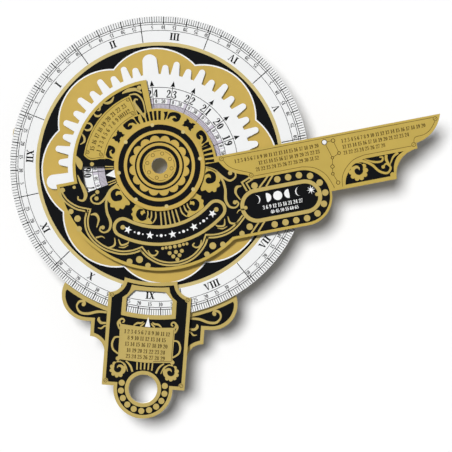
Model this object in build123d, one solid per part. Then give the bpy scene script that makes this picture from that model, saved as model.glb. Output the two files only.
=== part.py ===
from build123d import *
import os
from math import cos, radians, sin, sqrt

# A hand-held card instrument with two faces: a star clock in front and a mariner's astrolabe behind.
# Seen from the front X runs to the right and Z up, with the handle hanging down. The front faces -Y.
# The origin is on the axis of the sighting hole, at the front face of the base boards.

# Card, paper rings and running fits
board = 0.9                # one die-cut printed board
washer = 0.25              # thin ring of smooth paper that a turning board slides on
play = 0.05                # room between a turning board and what lies in front of or behind it
running = 0.05             # radial room between a turning board and the ring inside its bore
slip = 0.05                # room round a tab in its slot

# Sighting tube and the rings stacked on it
sight_r = 4.0              # clear hole from face to face
tube_wall = 1.0            # rolled paper
ring_wall = 4.0            # card rings glued round the tube, which the boards turn on
pointer_lift = 0.4         # thickness of the ring that keeps the pointer off the hour board
lift_w = 6.0               # how far that ring reaches over the hour board
rosette_r = 22.65          # the two round end plates
hub_in = 2.65              # from the rosettes' edge in to that of the paper washers and the bar's hub

# Date board and hour board
dial_r = 75.0
scale_w = 18.0             # from the dial's edge in to the longest teeth, the ones at 6 h and 18 h
midnight_short = 1.0       # the large tooth at 24 h is this much shorter
full_hour_short = 4.2      # the full-hour teeth
half_hour_short = 6.4      # the half-hour teeth
plain_short = 5.5          # the rim of the toothless half
root_short = 11.1          # the foot of the teeth
tooth_gap = 1.7            # between two teeth at their foot
tooth_taper = 1.3          # how much narrower a tooth is at its tip
big_gap = 1.0              # between the large tooth at 24 h and its neighbours
big_taper = 0.6
tip_rounding = 0.8         # height of the round tips, as a share of half their width
six_shift = 3.0            # the teeth at 6 h and 18 h stand this much to the day side of their hour
crowding = 1.3             # degrees by which the first half-hour teeth make room for the large one
midnight_angle = 99.7      # where 24 h stands, seen from the front
half_hours = 12            # half-hour steps from 24 h to 6 h, and as many back to 18 h

# Handle
slot_play = 0.4            # room round the date board's edge inside the handle
slot_depth = 0.2           # room between the date board and the window plate
stem_half_w = 20.75
stem_drop = 36.3           # from the dial's edge to the foot of the stem
ring_drop = 37.0           # from the dial's edge to the middle of the finger ring
ring_r = 14.8
ring_hole_r = 7.2
throat_gap = 1.5           # between the longest hour teeth and the window plate
bite_r = 7.5               # round bites that cut the window plate's shoulders
bite_drop = 17.7           # from the dial's edge in to the middle of the bites

# Date window
window_half_w = 11.5
window_top_half_w = 7.7
window_h = 12.1            # from the dial's edge in to the window's top
window_corner_h = 8.0      # from the dial's edge in to the foot of the cut corners
window_cover = 0.2         # the frame covers this much of the date board's edge

# Wings of the base boards, beside the stem
wing_r = 13.0
wing_out = 10.45           # from the stem's side to the middle of the lobe
wing_in = 7.8              # from the dial's edge in to the middle of the lobe
wing_shelf = 5.2           # from the dial's edge out to the lobe's flat underside
foot_w = 7.75              # the small block below the lobe, from the stem's side
foot_drop = 12.6           # from the dial's edge to the block's underside

# Pointer, in its own frame: the arm runs along +X and its reading edge is the upper one
pointer_angle = 15.06
edge_drop = 0.7            # the reading edge lies this much below the axis
hub_past = 6.05            # from the rosette's edge to the hub's
upper_short = 2.4          # the quarter above the hub ends this far inside the foot of the teeth
upper_x = 1.5              # where that quarter ends, beside the vertical
step_z = 0.3               # where it steps out to the lower half
body_past = 1.0            # the lower half covers the hour board's plain rim by this much
bay_r = 14.2               # round end below the arm
bay_past = 15.5            # from the lower half's rim out to the middle of the bay
bay_rise = 9.3             # from the lower half's lowest point up to the bay's
arm_rise = 0.3             # from the middle of the bay up to the arm's lower edge
arm_past = 67.7            # from the dial's edge to the tip
scoop_back = 14.3          # from the tip back to the middle of the round scoop under it
beak_h = 12.1              # height of the tip above the small step over the scoop
notch_h = 2.9              # height of that step
beak_bulge = 2.0           # how far the tip's lower curve bows out
reader_rim = 5.0           # from the quarter's edge in to the reading window
reader_w = 11.0
reader_half_angle = 10.0

# Alidade, seen from behind: its right arm runs along +X and lies below the sighting line
alidade_angle = 10.3
bar_w = 16.3
bar_past = 0.5             # from the dial's edge to the tips
box_w = 14.0               # the broad box that carries the vane
box_bulge = 1.4            # how far the box's underside hangs below the bar
hook_root = 9.7            # width of the hooked tip where it leaves the box
hook_tip = 6.2             # and near its end
hook_slant = 1.5           # how far its end leans back
hook_bulge = 0.5
box_corner = 2.4

# Sighting vanes: three boards glued face to face, the middle one with tabs
vane_leaf = 1.5
vane_w = 27.0
vane_h = 18.0
vane_in = 17.6             # from the dial's edge in to the middle of the vane
pinhole_r = 0.8
pinhole_h = 11.0           # above the alidade's bar
tab_w = 4.0
tab_gap = 2.6              # between the two tabs
tab_edge = 3.0             # from the sighting line to the nearer tab

# Places along the axis, counted forward from the base boards' front face
axle_r = sight_r + tube_wall + ring_wall
tube_r = sight_r + tube_wall
bore_r = axle_r + running
washer_r = rosette_r - hub_in
date_back = washer + play
hour_back = date_back + board
hour_front = hour_back + board
lift_back = hour_front + play
lift_front = lift_back + pointer_lift
pointer_back = lift_front + play
pointer_front = pointer_back + board
rosette_back = pointer_front + play
plate_back = hour_back + slot_depth
plate_front = plate_back + board

# Places behind the base boards' back face
base_t = 2 * board
bar_near = washer + play
bar_far = bar_near + board
cap_near = bar_far + play

# Places down the handle
dial_low = -dial_r
stem_low = dial_low - stem_drop
ring_z = dial_low - ring_drop

# Radii of the hour board and the window plate's throat
six_r = dial_r - scale_w
midnight_r = six_r - midnight_short
full_hour_r = six_r - full_hour_short
half_hour_r = six_r - half_hour_short
plain_r = six_r - plain_short
hour_root_r = six_r - root_short
throat_r = six_r + throat_gap

# Widths of the teeth, from the room that they have round the circle at their foot
tooth_pitch = 90 / half_hours
tooth_root_w = radians(tooth_pitch) * hour_root_r - tooth_gap
tooth_tip_w = tooth_root_w - tooth_taper
big_reach = radians(tooth_pitch + crowding) * hour_root_r
big_root_w = 2 * (big_reach - tooth_root_w / 2 - big_gap)
big_tip_w = big_root_w - big_taper

# Places on the pointer
hub_r = rosette_r + hub_past
upper_r = hour_root_r - upper_short
body_r = plain_r + body_past
reader_out_r = upper_r - reader_rim
reader_in_r = reader_out_r - reader_w
bay_x = body_r + bay_past
bay_low = bay_rise - body_r
bay_z = bay_low + bay_r
arm_low = bay_z + arm_rise
arm_len = dial_r + arm_past
scoop_x = arm_len - scoop_back
notch_z = -edge_drop - beak_h
scoop_r = notch_z - notch_h - arm_low

# Places on the alidade
bar_len = dial_r + bar_past
vane_at = dial_r - vane_in
box_in = vane_at - box_w / 2
box_out = vane_at + box_w / 2


def disc(radius, x=0.0, z=0.0):
    return Pos(x, z) * Circle(radius)


def ring(outer, inner):
    return Circle(outer) - Circle(inner)


def block(x0, z0, x1, z1):
    return Pos((x0 + x1) / 2, (z0 + z1) / 2) * Rectangle(x1 - x0, z1 - z0)


def polar(radius, angle):
    return Vector(radius * cos(radians(angle)), radius * sin(radians(angle)))


def in_front(sketch, start, thick):
    """A slab of the given outline that starts at a place in front of the base boards."""
    plane = Plane(origin=(0, -start, 0), x_dir=(1, 0, 0), z_dir=(0, -1, 0))
    return extrude(plane * sketch, amount=thick, dir=(0, -1, 0))


def behind(sketch, start, thick):
    """The same behind the base boards, with the outline drawn as it is seen from behind."""
    plane = Plane(origin=(0, base_t + start, 0), x_dir=(-1, 0, 0), z_dir=(0, 1, 0))
    return extrude(plane * sketch, amount=thick, dir=(0, 1, 0))


def stem_outline():
    """The handle: a straight stem that ends in a round finger ring."""
    stem = block(-stem_half_w, stem_low, stem_half_w, dial_low + dial_r / 3)
    return stem + disc(ring_r, 0, ring_z) - disc(ring_hole_r, 0, ring_z)


def wing_outline():
    """The right wing: a round lobe over a small block whose underside curves back into the stem."""
    lobe_x = stem_half_w + wing_out
    lobe_z = dial_low + wing_in
    shelf_z = dial_low - wing_shelf
    foot_x = stem_half_w + foot_w
    foot_z = dial_low - foot_drop
    lobe = disc(wing_r, lobe_x, lobe_z) & block(0, shelf_z, lobe_x + wing_r, 0)
    web = block(stem_half_w / 2, shelf_z, lobe_x, lobe_z)
    foot = block(stem_half_w / 2, foot_z - foot_w, foot_x, shelf_z) - disc(foot_w, foot_x, foot_z - foot_w)
    return lobe + web + foot


def base_outline():
    wing = wing_outline()
    return disc(dial_r) + stem_outline() + wing + mirror(wing, about=Plane.YZ) - disc(tube_r)


def spacer_outline():
    """The handle's filling layer, cut back round the date board's edge."""
    return stem_outline() - disc(dial_r + slot_play)


def window_outline():
    """The date window: cut corners above, an arc along the date board's edge below."""
    top_z = dial_low + window_h
    corner_z = dial_low + window_corner_h
    corners = [
        (-window_top_half_w, top_z),
        (window_top_half_w, top_z),
        (window_half_w, corner_z),
        (window_half_w, dial_low),
        (-window_half_w, dial_low),
        (-window_half_w, corner_z),
    ]
    return make_face(Polyline(*corners, close=True)) & disc(dial_r - window_cover)


def window_plate_outline():
    """The handle's front plate: it reaches in over the date board as far as the hour teeth allow."""
    plate = stem_outline() - disc(throat_r)
    for side in (-1, 1):
        plate -= disc(bite_r, side * stem_half_w, dial_low + bite_drop)
    return plate - window_outline()


def tooth_points(angle, reach, root_w, tip_w, shift=0.0):
    """A finger-shaped tooth: root, shoulder, tip, shoulder and root, in the sense of rising angles."""
    along = polar(1, angle)
    across = polar(1, angle + 90)
    middle = across * shift
    shoulder = along * (reach - tip_rounding * tip_w / 2)
    root = along * hour_root_r
    return [
        middle + root - across * (root_w / 2),
        middle + shoulder - across * (tip_w / 2),
        middle + along * reach,
        middle + shoulder + across * (tip_w / 2),
        middle + root + across * (root_w / 2),
    ]


def hour_tooth(step):
    """The tooth that lies this many half hours away from 24 h."""
    angle = midnight_angle + step * tooth_pitch
    if abs(step) == 1:
        angle += step * crowding
    if step == 0:
        return tooth_points(angle, midnight_r, big_root_w, big_tip_w)
    if abs(step) == half_hours:
        side = step / half_hours
        return tooth_points(angle, six_r, big_root_w, big_tip_w, side * six_shift)
    reach = full_hour_r if step % 2 == 0 else half_hour_r
    return tooth_points(angle, reach, tooth_root_w, tooth_tip_w)


def hour_outline():
    """The hour board: finger teeth through the night hours, a plain rim through the day."""
    teeth = [hour_tooth(step) for step in range(-half_hours, half_hours + 1)]
    edges = []
    for index, points in enumerate(teeth):
        edges.append(Line(points[0], points[1]))
        edges.append(ThreePointArc(points[1], points[2], points[3]))
        edges.append(Line(points[3], points[4]))
        if index + 1 < len(teeth):
            edges.append(Line(points[4], teeth[index + 1][0]))
    across_day = ThreePointArc(teeth[-1][4], polar(hour_root_r, midnight_angle + 180), teeth[0][0])
    toothed = make_face(edges + [across_day])
    day_side = Rot(0, 0, midnight_angle + 180) * block(0, -plain_r, plain_r, plain_r)
    keep_low = Pos(polar(six_shift, midnight_angle + 180)) * day_side
    plain_half = Circle(plain_r) & keep_low
    return toothed + plain_half - disc(bore_r)


def pointer_outline():
    """The pointer: hub, raised quarter, broad lower half with a round bay, and the long arm."""
    edge = -edge_drop
    hub_start = Vector(sqrt(hub_r**2 - edge_drop**2), edge)
    hub_end = Vector(upper_x, sqrt(hub_r**2 - upper_x**2))
    upper_start = Vector(upper_x, sqrt(upper_r**2 - upper_x**2))
    upper_end = Vector(-sqrt(upper_r**2 - step_z**2), step_z)
    body_start = Vector(-sqrt(body_r**2 - step_z**2), step_z)
    body_end = Vector(sqrt(body_r**2 - bay_low**2), bay_low)
    bay_start = Vector(bay_x, bay_low)
    bay_end = Vector(bay_x + sqrt(bay_r**2 - (arm_low - bay_z) ** 2), arm_low)
    scoop_start = Vector(scoop_x - scoop_r, arm_low)
    scoop_end = Vector(scoop_x, arm_low + scoop_r)
    notch = Vector(scoop_x, notch_z)
    tip = Vector(arm_len, edge)
    beak = (tip + notch) / 2 + Vector(beak_bulge, -beak_bulge)
    edges = [
        ThreePointArc(hub_start, polar(hub_r, 45), hub_end),
        Line(hub_end, upper_start),
        ThreePointArc(upper_start, polar(upper_r, 135), upper_end),
        Line(upper_end, body_start),
        ThreePointArc(body_start, polar(body_r, 240), body_end),
        Line(body_end, bay_start),
        ThreePointArc(bay_start, Vector(bay_x, bay_z) + polar(bay_r, -45), bay_end),
        Line(bay_end, scoop_start),
        ThreePointArc(scoop_start, Vector(scoop_x, arm_low) + polar(scoop_r, 135), scoop_end),
        Line(scoop_end, notch),
        ThreePointArc(notch, beak, tip),
        Line(tip, hub_start),
    ]
    return Rot(0, 0, pointer_angle) * (make_face(edges) - disc(bore_r) - reader_outline())


def reader_outline():
    """The pointer's reading window: a piece of a ring at the far side from the arm."""
    lower = 180 - reader_half_angle
    upper = 180 + reader_half_angle
    edges = [
        ThreePointArc(polar(reader_out_r, lower), polar(reader_out_r, 180), polar(reader_out_r, upper)),
        Line(polar(reader_out_r, upper), polar(reader_in_r, upper)),
        ThreePointArc(polar(reader_in_r, upper), polar(reader_in_r, 180), polar(reader_in_r, lower)),
        Line(polar(reader_in_r, lower), polar(reader_out_r, lower)),
    ]
    return make_face(edges)


def alidade_arm():
    """The right arm: a straight bar, a broader box for the vane, and a hooked tip."""
    low = -bar_w
    tip = (bar_len, 0)
    chin = (bar_len - hook_slant, -hook_tip)
    jaw = ((bar_len + box_out) / 2, -(hook_tip + hook_root) / 2 - hook_bulge)
    root = (box_out, -hook_root)
    cheek = (box_out, low + box_corner)
    corner_r = box_corner * (1 - sqrt(0.5))
    corner = (box_out - corner_r, low + corner_r)
    foot = (box_out - box_corner, low)
    edges = [
        Line((0, 0), tip),
        ThreePointArc(tip, (bar_len, -hook_tip / 2), chin),
        ThreePointArc(chin, jaw, root),
        Line(root, cheek),
        ThreePointArc(cheek, corner, foot),
        ThreePointArc(foot, (vane_at, low - box_bulge), (box_in, low)),
        Line((box_in, low), (0, low)),
        Line((0, low), (0, 0)),
    ]
    return make_face(edges)


def tab_spans():
    """Where the vane's two tabs lie below the sighting line."""
    first = -tab_edge - tab_w / 2
    return [first, first - tab_w - tab_gap]


def alidade_outline():
    arm = alidade_arm()
    for middle in tab_spans():
        arm -= Pos(vane_at, middle) * Rectangle(vane_leaf + 2 * slip, tab_w + 2 * slip)
    both = arm + Rot(0, 0, 180) * arm + Circle(washer_r)
    return Rot(0, 0, alidade_angle) * (both - disc(bore_r))


def vane_leaves(turn):
    """The three boards of one vane, standing on the alidade's bar across the sighting line."""
    top = base_t + bar_far
    leaves = []
    for place in (-1, 0, 1):
        middle = vane_at + place * vane_leaf
        leaf = Pos(middle, 0, top + vane_h / 2) * Box(vane_leaf, vane_w, vane_h)
        if place == 0:
            for tab in tab_spans():
                leaf += Pos(middle, tab, top - board / 2) * Box(vane_leaf, tab_w, board)
        sight = Pos(middle, 0, top + pinhole_h) * Rot(0, 90, 0) * Cylinder(pinhole_r, 2 * vane_leaf)
        seen_from_behind = Plane(origin=(0, 0, 0), x_dir=(-1, 0, 0), z_dir=(0, 1, 0))
        leaves.append(seen_from_behind * (Rot(0, 0, alidade_angle + turn) * (leaf - sight)))
    return leaves


pieces = {
    "front_board": in_front(base_outline(), -board, board),
    "back_board": in_front(base_outline(), -base_t, board),
    "handle_spacer": in_front(spacer_outline(), 0, plate_back),
    "window_plate": in_front(window_plate_outline(), plate_back, board),
    "sight_tube": in_front(ring(tube_r, sight_r), -base_t - cap_near, base_t + cap_near + rosette_back),
    "date_washer": in_front(ring(washer_r, axle_r), 0, washer),
    "dial_axle_ring": in_front(ring(axle_r, tube_r), 0, rosette_back),
    "pointer_washer": in_front(ring(axle_r + lift_w, axle_r), lift_back, pointer_lift),
    "front_rosette": in_front(ring(rosette_r, sight_r), rosette_back, board),
    "alidade_washer": behind(ring(washer_r, axle_r), 0, washer),
    "alidade_axle_ring": behind(ring(axle_r, tube_r), 0, cap_near),
    "back_rosette": behind(ring(rosette_r, sight_r), cap_near, board),
    "date_board": in_front(disc(dial_r) - disc(bore_r), date_back, board),
    "hour_board": in_front(hour_outline(), hour_back, board),
    "pointer_plate": in_front(pointer_outline(), pointer_back, board),
    "alidade_bar": behind(alidade_outline(), bar_near, board),
}

for side, turn in (("right", 0), ("left", 180)):
    for layer, leaf in zip(("inner", "middle", "outer"), vane_leaves(turn)):
        pieces[f"{side}_vane_{layer}"] = leaf

os.makedirs("parts", exist_ok=True)
for name, solid in pieces.items():
    export_step(solid, f"parts/{name}.step")
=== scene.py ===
from math import asin, atan2, ceil, cos, degrees, hypot, pi, radians, sin, sqrt

import bpy
from mathutils import Matrix, Vector
from mathutils.geometry import tessellate_polygon


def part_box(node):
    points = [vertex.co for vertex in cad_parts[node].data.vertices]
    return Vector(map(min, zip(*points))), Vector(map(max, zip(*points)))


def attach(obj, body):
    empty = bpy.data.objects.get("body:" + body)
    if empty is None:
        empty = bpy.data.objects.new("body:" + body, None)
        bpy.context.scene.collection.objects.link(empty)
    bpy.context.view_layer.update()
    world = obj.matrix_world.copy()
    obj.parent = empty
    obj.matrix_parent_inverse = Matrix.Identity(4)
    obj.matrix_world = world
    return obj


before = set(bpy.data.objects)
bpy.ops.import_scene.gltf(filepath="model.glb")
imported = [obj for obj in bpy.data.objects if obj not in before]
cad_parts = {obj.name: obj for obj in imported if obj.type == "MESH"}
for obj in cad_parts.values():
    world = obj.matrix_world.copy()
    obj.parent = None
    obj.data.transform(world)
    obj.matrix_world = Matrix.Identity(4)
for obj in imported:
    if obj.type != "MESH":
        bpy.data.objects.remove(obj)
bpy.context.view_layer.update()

# The looks of a printed card instrument. What is printed on a board lies on its face as thin closed films.
# Drawings are in millimetres on the face they belong to, x to the right and z up as that face is seen,
# with the axis of the sighting hole at their middle. Angles are in degrees, counterclockwise.
MM = 0.001


def near(node):
    """Where a node's front face lies along Y."""
    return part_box(node)[0].y


def far(node):
    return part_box(node)[1].y


# Sizes and angles of the solids, and the border round the finger hole
dial_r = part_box("date_board")[1].x / MM
ring_r = 14.8
ring_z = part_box("window_plate")[0].z / MM + ring_r
hole_border_r = 9.1
pointer_turn = 15.06
alidade_turn = 10.3
vane_at = 57.4
vane_w = 27.0
vane_t = 4.5
vane_h = (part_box("right_vane_inner")[1].y - far("alidade_bar")) / MM
pinhole_h = 11.0

# Thickness of the films: each ink lies this much higher than the one under it
film = 0.009
film_step = 0.0012
film_steps = 5
sunk = 0.004


# Points and outlines

def polar(r, a, x=0.0, z=0.0):
    return (x + r * cos(radians(a)), z + r * sin(radians(a)))


def arc(r, a0, a1, x=0.0, z=0.0, finer=1):
    whole = 10 + 11 * sqrt(r) * finer
    count = max(2, ceil(abs(a1 - a0) / 360 * whole))
    return [polar(r, a0 + (a1 - a0) * i / count, x, z) for i in range(count + 1)]


def circle(r, x=0.0, z=0.0, finer=1):
    return arc(r, 0, 360, x, z, finer)[:-1]


def smooth(points, closed=False, per=6):
    """A curve through the points."""
    last = len(points)
    spans = last if closed else last - 1
    curve = []
    for i in range(spans):
        if closed:
            p = [points[(i + k - 1) % last] for k in range(4)]
        else:
            p = [points[min(max(i + k - 1, 0), last - 1)] for k in range(4)]
        for step in range(per):
            t = step / per
            w = (
                -0.5 * t + t * t - 0.5 * t**3,
                1 - 2.5 * t * t + 1.5 * t**3,
                0.5 * t + 2 * t * t - 1.5 * t**3,
                -0.5 * t * t + 0.5 * t**3,
            )
            curve.append((sum(a * q[0] for a, q in zip(w, p)), sum(a * q[1] for a, q in zip(w, p))))
    if not closed:
        curve.append(points[-1])
    return curve


def normals(line, closed):
    """The unit vector to the left of the line at each point, and how much a corner there lengthens it."""
    last = len(line)
    found = []
    for i, here in enumerate(line):
        before = line[i - 1] if closed or i else here
        after = line[(i + 1) % last] if closed or i + 1 < last else here
        sides = []
        for a, b in ((before, here), (here, after)):
            run = hypot(b[0] - a[0], b[1] - a[1])
            if run > 1e-9:
                sides.append(((a[1] - b[1]) / run, (b[0] - a[0]) / run))
        nx = sum(s[0] for s in sides)
        nz = sum(s[1] for s in sides)
        size = hypot(nx, nz) or 1.0
        nx, nz = nx / size, nz / size
        stretch = 1 / max(0.35, nx * sides[0][0] + nz * sides[0][1]) if sides else 1
        found.append((nx * stretch, nz * stretch))
    return found


def beside(line, distance, closed=False):
    """The line moved to its left."""
    return [(p[0] + n[0] * distance, p[1] + n[1] * distance) for p, n in zip(line, normals(line, closed))]


def gap_to(point, loop):
    best = 1e9
    for a, b in zip(loop, loop[1:] + loop[:1]):
        dx, dz = b[0] - a[0], b[1] - a[1]
        long2 = dx * dx + dz * dz
        t = 0 if long2 < 1e-12 else ((point[0] - a[0]) * dx + (point[1] - a[1]) * dz) / long2
        t = min(1, max(0, t))
        best = min(best, hypot(point[0] - a[0] - t * dx, point[1] - a[1] - t * dz))
    return best


def inset(loop, distance):
    """A counterclockwise loop drawn in by a distance, without the folds at tight corners."""
    moved = beside(loop, distance, closed=True)
    return [p for p in moved if gap_to(p, loop) > abs(distance) * 0.97]


def area(loop):
    return sum(a[0] * b[1] - b[0] * a[1] for a, b in zip(loop, loop[1:] + loop[:1])) / 2


def outline(node, y):
    """The loops round a node's flat face in the front view, counterclockwise, the outer one first."""
    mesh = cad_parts[node].data
    spots = {}
    where = []
    for v in mesh.vertices:
        key = (round(v.co.x, 7), round(v.co.y, 7), round(v.co.z, 7))
        where.append(spots.setdefault(key, len(spots)))
    places = list(spots)
    edges = {}
    for face in mesh.polygons:
        ids = [where[i] for i in face.vertices]
        if all(abs(places[i][1] - y) < 2e-6 for i in ids):
            for a, b in zip(ids, ids[1:] + ids[:1]):
                if a != b:
                    edges[(a, b)] = True
    border = {a: b for a, b in edges if (b, a) not in edges}
    loops = []
    while border:
        here = next(iter(border))
        ids = []
        while here in border:
            ids.append(here)
            here = border.pop(here)
        loops.append([(places[i][0] / MM, places[i][2] / MM) for i in ids])
    loops = [loop if area(loop) > 0 else loop[::-1] for loop in loops]
    return sorted(loops, key=area, reverse=True)


# Filled shapes: a list of points and a list of faces

def strip(a, b, closed=False):
    n = len(a)
    faces = [(i, (i + 1) % n, n + (i + 1) % n, n + i) for i in range(n if closed else n - 1)]
    return list(a) + list(b), faces


def fill(outer, *holes):
    loops = [outer, *holes]
    points = [p for loop in loops for p in loop]
    flat = [[Vector((x, z, 0)) for x, z in loop] for loop in loops]
    return points, [tuple(t) for t in tessellate_polygon(flat)]


def disc(r, x=0.0, z=0.0):
    rim = circle(r, x, z)
    return rim, [tuple(range(len(rim)))]


def ring(outer, inner, x=0.0, z=0.0):
    finer = sqrt(outer / inner)
    count = len(circle(inner, finer=finer))
    turns = [360 * i / count for i in range(count)]
    return strip([polar(outer, a, x, z) for a in turns], [polar(inner, a, x, z) for a in turns], closed=True)


def sector(r0, r1, a0, a1):
    count = max(1, ceil(abs(a1 - a0) / 360 * (10 + 11 * sqrt(r1))))
    turns = [a0 + (a1 - a0) * i / count for i in range(count + 1)]
    return strip([polar(r0, a) for a in turns], [polar(r1, a) for a in turns])


def on_radius(corners, a):
    """Corners given along and across the radius at an angle."""
    along = polar(1, a)
    across = polar(1, a + 90)
    return [(u * along[0] + v * across[0], u * along[1] + v * across[1]) for u, v in corners]


def tick(r0, r1, a, width):
    """A straight mark along the radius at an angle."""
    half = width / 2
    return on_radius([(r0, -half), (r1, -half), (r1, half), (r0, half)], a), [(0, 1, 2, 3)]


def bar(x0, z0, x1, z1):
    return [(x0, z0), (x1, z0), (x1, z1), (x0, z1)], [(0, 1, 2, 3)]


def line(points, width, closed=False):
    return strip(beside(points, width / 2, closed), beside(points, -width / 2, closed), closed)


def stroke(points, widths, per=6):
    """A pen stroke through the points, with its width given at even steps along it."""
    path = smooth(points, per=per)
    last = len(path) - 1
    spans = len(widths) - 1
    left = []
    right = []
    for i, (p, n) in enumerate(zip(path, normals(path, False))):
        t = i / last * spans
        k = min(int(t), spans - 1)
        half = (widths[k] + (widths[k + 1] - widths[k]) * (t - k)) / 2
        left.append((p[0] + n[0] * half, p[1] + n[1] * half))
        right.append((p[0] - n[0] * half, p[1] - n[1] * half))
    return strip(left, right)


def curl(x, z, r0, r1, a0, sweep, w0, w1):
    """A spiral stroke from radius r0 to r1 round a point."""
    count = max(8, ceil(abs(sweep) / 18))
    path = [polar(r0 + (r1 - r0) * i / count, a0 + sweep * i / count, x, z) for i in range(count + 1)]
    return stroke(path, (w0, (w0 + w1) / 2, w1), per=1)


def star(r, x=0.0, z=0.0, points=5, waist=0.42, turn=90):
    rim = [polar(r if i % 2 == 0 else r * waist, turn + i * 180 / points, x, z) for i in range(2 * points)]
    return fill(rim)


def placed(shapes, x=0.0, z=0.0, turn=0.0, flip=False):
    """Shapes flipped left to right, turned about the middle, and then moved."""
    c, s = cos(radians(turn)), sin(radians(turn))
    side = -1 if flip else 1
    return [
        ([(x + c * side * p - s * q, z + s * side * p + c * q) for p, q in points], faces)
        for points, faces in shapes
    ]


def both_sides(shapes):
    return list(shapes) + placed(shapes, flip=True)


def upside_down(shapes, height=0.0):
    """Shapes flipped top to bottom, and moved up by a height."""
    return [([(x, height - z) for x, z in points], faces) for points, faces in shapes]


# Numerals, drawn one unit high with a broad and a narrow pen

broad = 0.21
narrow = 0.09


def digit(name):
    if name == "0":
        return [strip(oval(0.28, 0.5, 0.27, 0.5), oval(0.28, 0.5, 0.27 - broad, 0.5 - narrow), True)], 0.56
    if name == "1":
        flag = [(0.03, 0.84), (0.2, 0.87), (0.2, 1.0)]
        return [bar(0.17, 0, 0.17 + broad, 1), fill(flag), bar(0.04, 0, 0.46, narrow)], 0.5
    if name == "2":
        body = stroke([(0.1, 0.72), (0.13, 0.9), (0.28, 0.965), (0.42, 0.84), (0.42, 0.64), (0.27, 0.36),
                       (0.07, 0.08)], (narrow, narrow, narrow, broad, broad, 0.09, narrow))
        foot = [(0.03, 0.0), (0.5, 0.0), (0.54, 0.22), (0.49, 0.22), (0.43, 0.13), (0.06, 0.13)]
        return [body, fill(foot), disc(0.075, 0.115, 0.75)], 0.58
    if name == "3":
        upper = stroke([(0.09, 0.8), (0.14, 0.92), (0.27, 0.965), (0.39, 0.86), (0.38, 0.68), (0.2, 0.54)],
                       (narrow, narrow, 0.1, broad, 0.1, narrow))
        lower = stroke([(0.2, 0.54), (0.4, 0.44), (0.45, 0.24), (0.36, 0.06), (0.2, 0.03), (0.07, 0.15)],
                       (narrow, 0.12, broad, 0.1, narrow, narrow))
        return [upper, lower, disc(0.07, 0.1, 0.8), disc(0.075, 0.1, 0.18)], 0.56
    if name == "4":
        slope = stroke([(0.36, 0.98), (0.03, 0.3)], (narrow, narrow), per=2)
        bars = [bar(0.03, 0.24, 0.56, 0.33), bar(0.31, 0, 0.31 + broad, 1), bar(0.22, 0, 0.54, narrow)]
        return [slope, *bars], 0.6
    if name == "5":
        flag = [(0.12, 0.86), (0.44, 0.88), (0.49, 1.02), (0.12, 1.0)]
        bowl = stroke([(0.08, 0.54), (0.24, 0.61), (0.4, 0.5), (0.44, 0.28), (0.34, 0.07), (0.2, 0.03),
                       (0.06, 0.15)], (narrow, 0.09, broad, broad, 0.1, narrow, narrow))
        return [fill(flag), stroke([(0.14, 0.98), (0.1, 0.54)], (narrow, narrow), per=2), bowl,
                disc(0.07, 0.09, 0.17)], 0.56
    if name in "69":
        loop = strip(oval(0.28, 0.3, 0.26, 0.31), oval(0.28, 0.3, 0.26 - broad, 0.31 - narrow), True)
        stem = stroke([(0.46, 0.92), (0.34, 0.97), (0.2, 0.82), (0.12, 0.58), (0.12, 0.32)],
                      (narrow, narrow, 0.15, broad, broad))
        shapes = [loop, stem, disc(0.065, 0.43, 0.88)]
        return (shapes if name == "6" else placed(shapes, 0.56, 1.0, 180)), 0.58
    if name == "7":
        flag = [(0.03, 0.8), (0.08, 0.8), (0.12, 0.87), (0.5, 0.87), (0.5, 0.99), (0.05, 1.0)]
        return [fill(flag), stroke([(0.46, 0.88), (0.3, 0.5), (0.2, 0.0)], (narrow, 0.11, broad))], 0.54
    upper = strip(oval(0.28, 0.74, 0.22, 0.26), oval(0.28, 0.74, 0.08, 0.26 - narrow), True)
    lower = strip(oval(0.28, 0.27, 0.26, 0.28), oval(0.28, 0.27, 0.09, 0.28 - narrow), True)
    return [upper, lower], 0.58


def oval(x, z, rx, rz):
    return [(x + rx * cos(2 * pi * i / 20), z + rz * sin(2 * pi * i / 20)) for i in range(20)]


def roman(name):
    if name == "I":
        return [bar(0.1, 0, 0.1 + broad, 1), bar(0.0, 0, 0.39, narrow), bar(0.0, 1 - narrow, 0.39, 1)], 0.42
    if name == "V":
        left = [(0.05, 1), (0.05 + broad * 1.1, 1), (0.44, 0.02), (0.34, 0.0)]
        right = [(0.6, 1), (0.6 + narrow, 1), (0.42, 0.0), (0.36, 0.02)]
        return [fill(left), fill(right), bar(0, 1 - narrow, 0.31, 1), bar(0.53, 1 - narrow, 0.76, 1)], 0.78
    left = [(0.05, 1), (0.05 + broad * 1.1, 1), (0.67, 0), (0.67 - broad * 1.1, 0)]
    right = [(0.58, 1), (0.58 + narrow, 1), (0.06 + narrow, 0), (0.06, 0)]
    serifs = [bar(0, 1 - narrow, 0.3, 1), bar(0.5, 1 - narrow, 0.74, 1), bar(0, 0, 0.22, narrow),
              bar(0.4, 0, 0.72, narrow)]
    return [fill(left), fill(right), *serifs], 0.76


def figures(text, height, width=1.0):
    """A line of numerals, its middle at the origin. A blank leaves half a numeral free."""
    shapes = []
    x = 0.0
    for name in text:
        if name == " ":
            x += 0.3
        else:
            glyph, step = roman(name) if name in "IVX" else digit(name)
            shapes += placed(glyph, x)
            x += step
    half = x / 2
    return [([((p - half) * height * width, (q - 0.5) * height) for p, q in points], faces)
            for points, faces in shapes]


def round_the_dial(text, height, r, angle, tops_in=True, width=1.0):
    """Numerals on a circle, their tops towards the middle or away from it."""
    turn = angle + 90 if tops_in else angle - 90
    x, z = polar(r, angle)
    return placed(figures(text, height, width), x, z, turn)


# Prints

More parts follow.
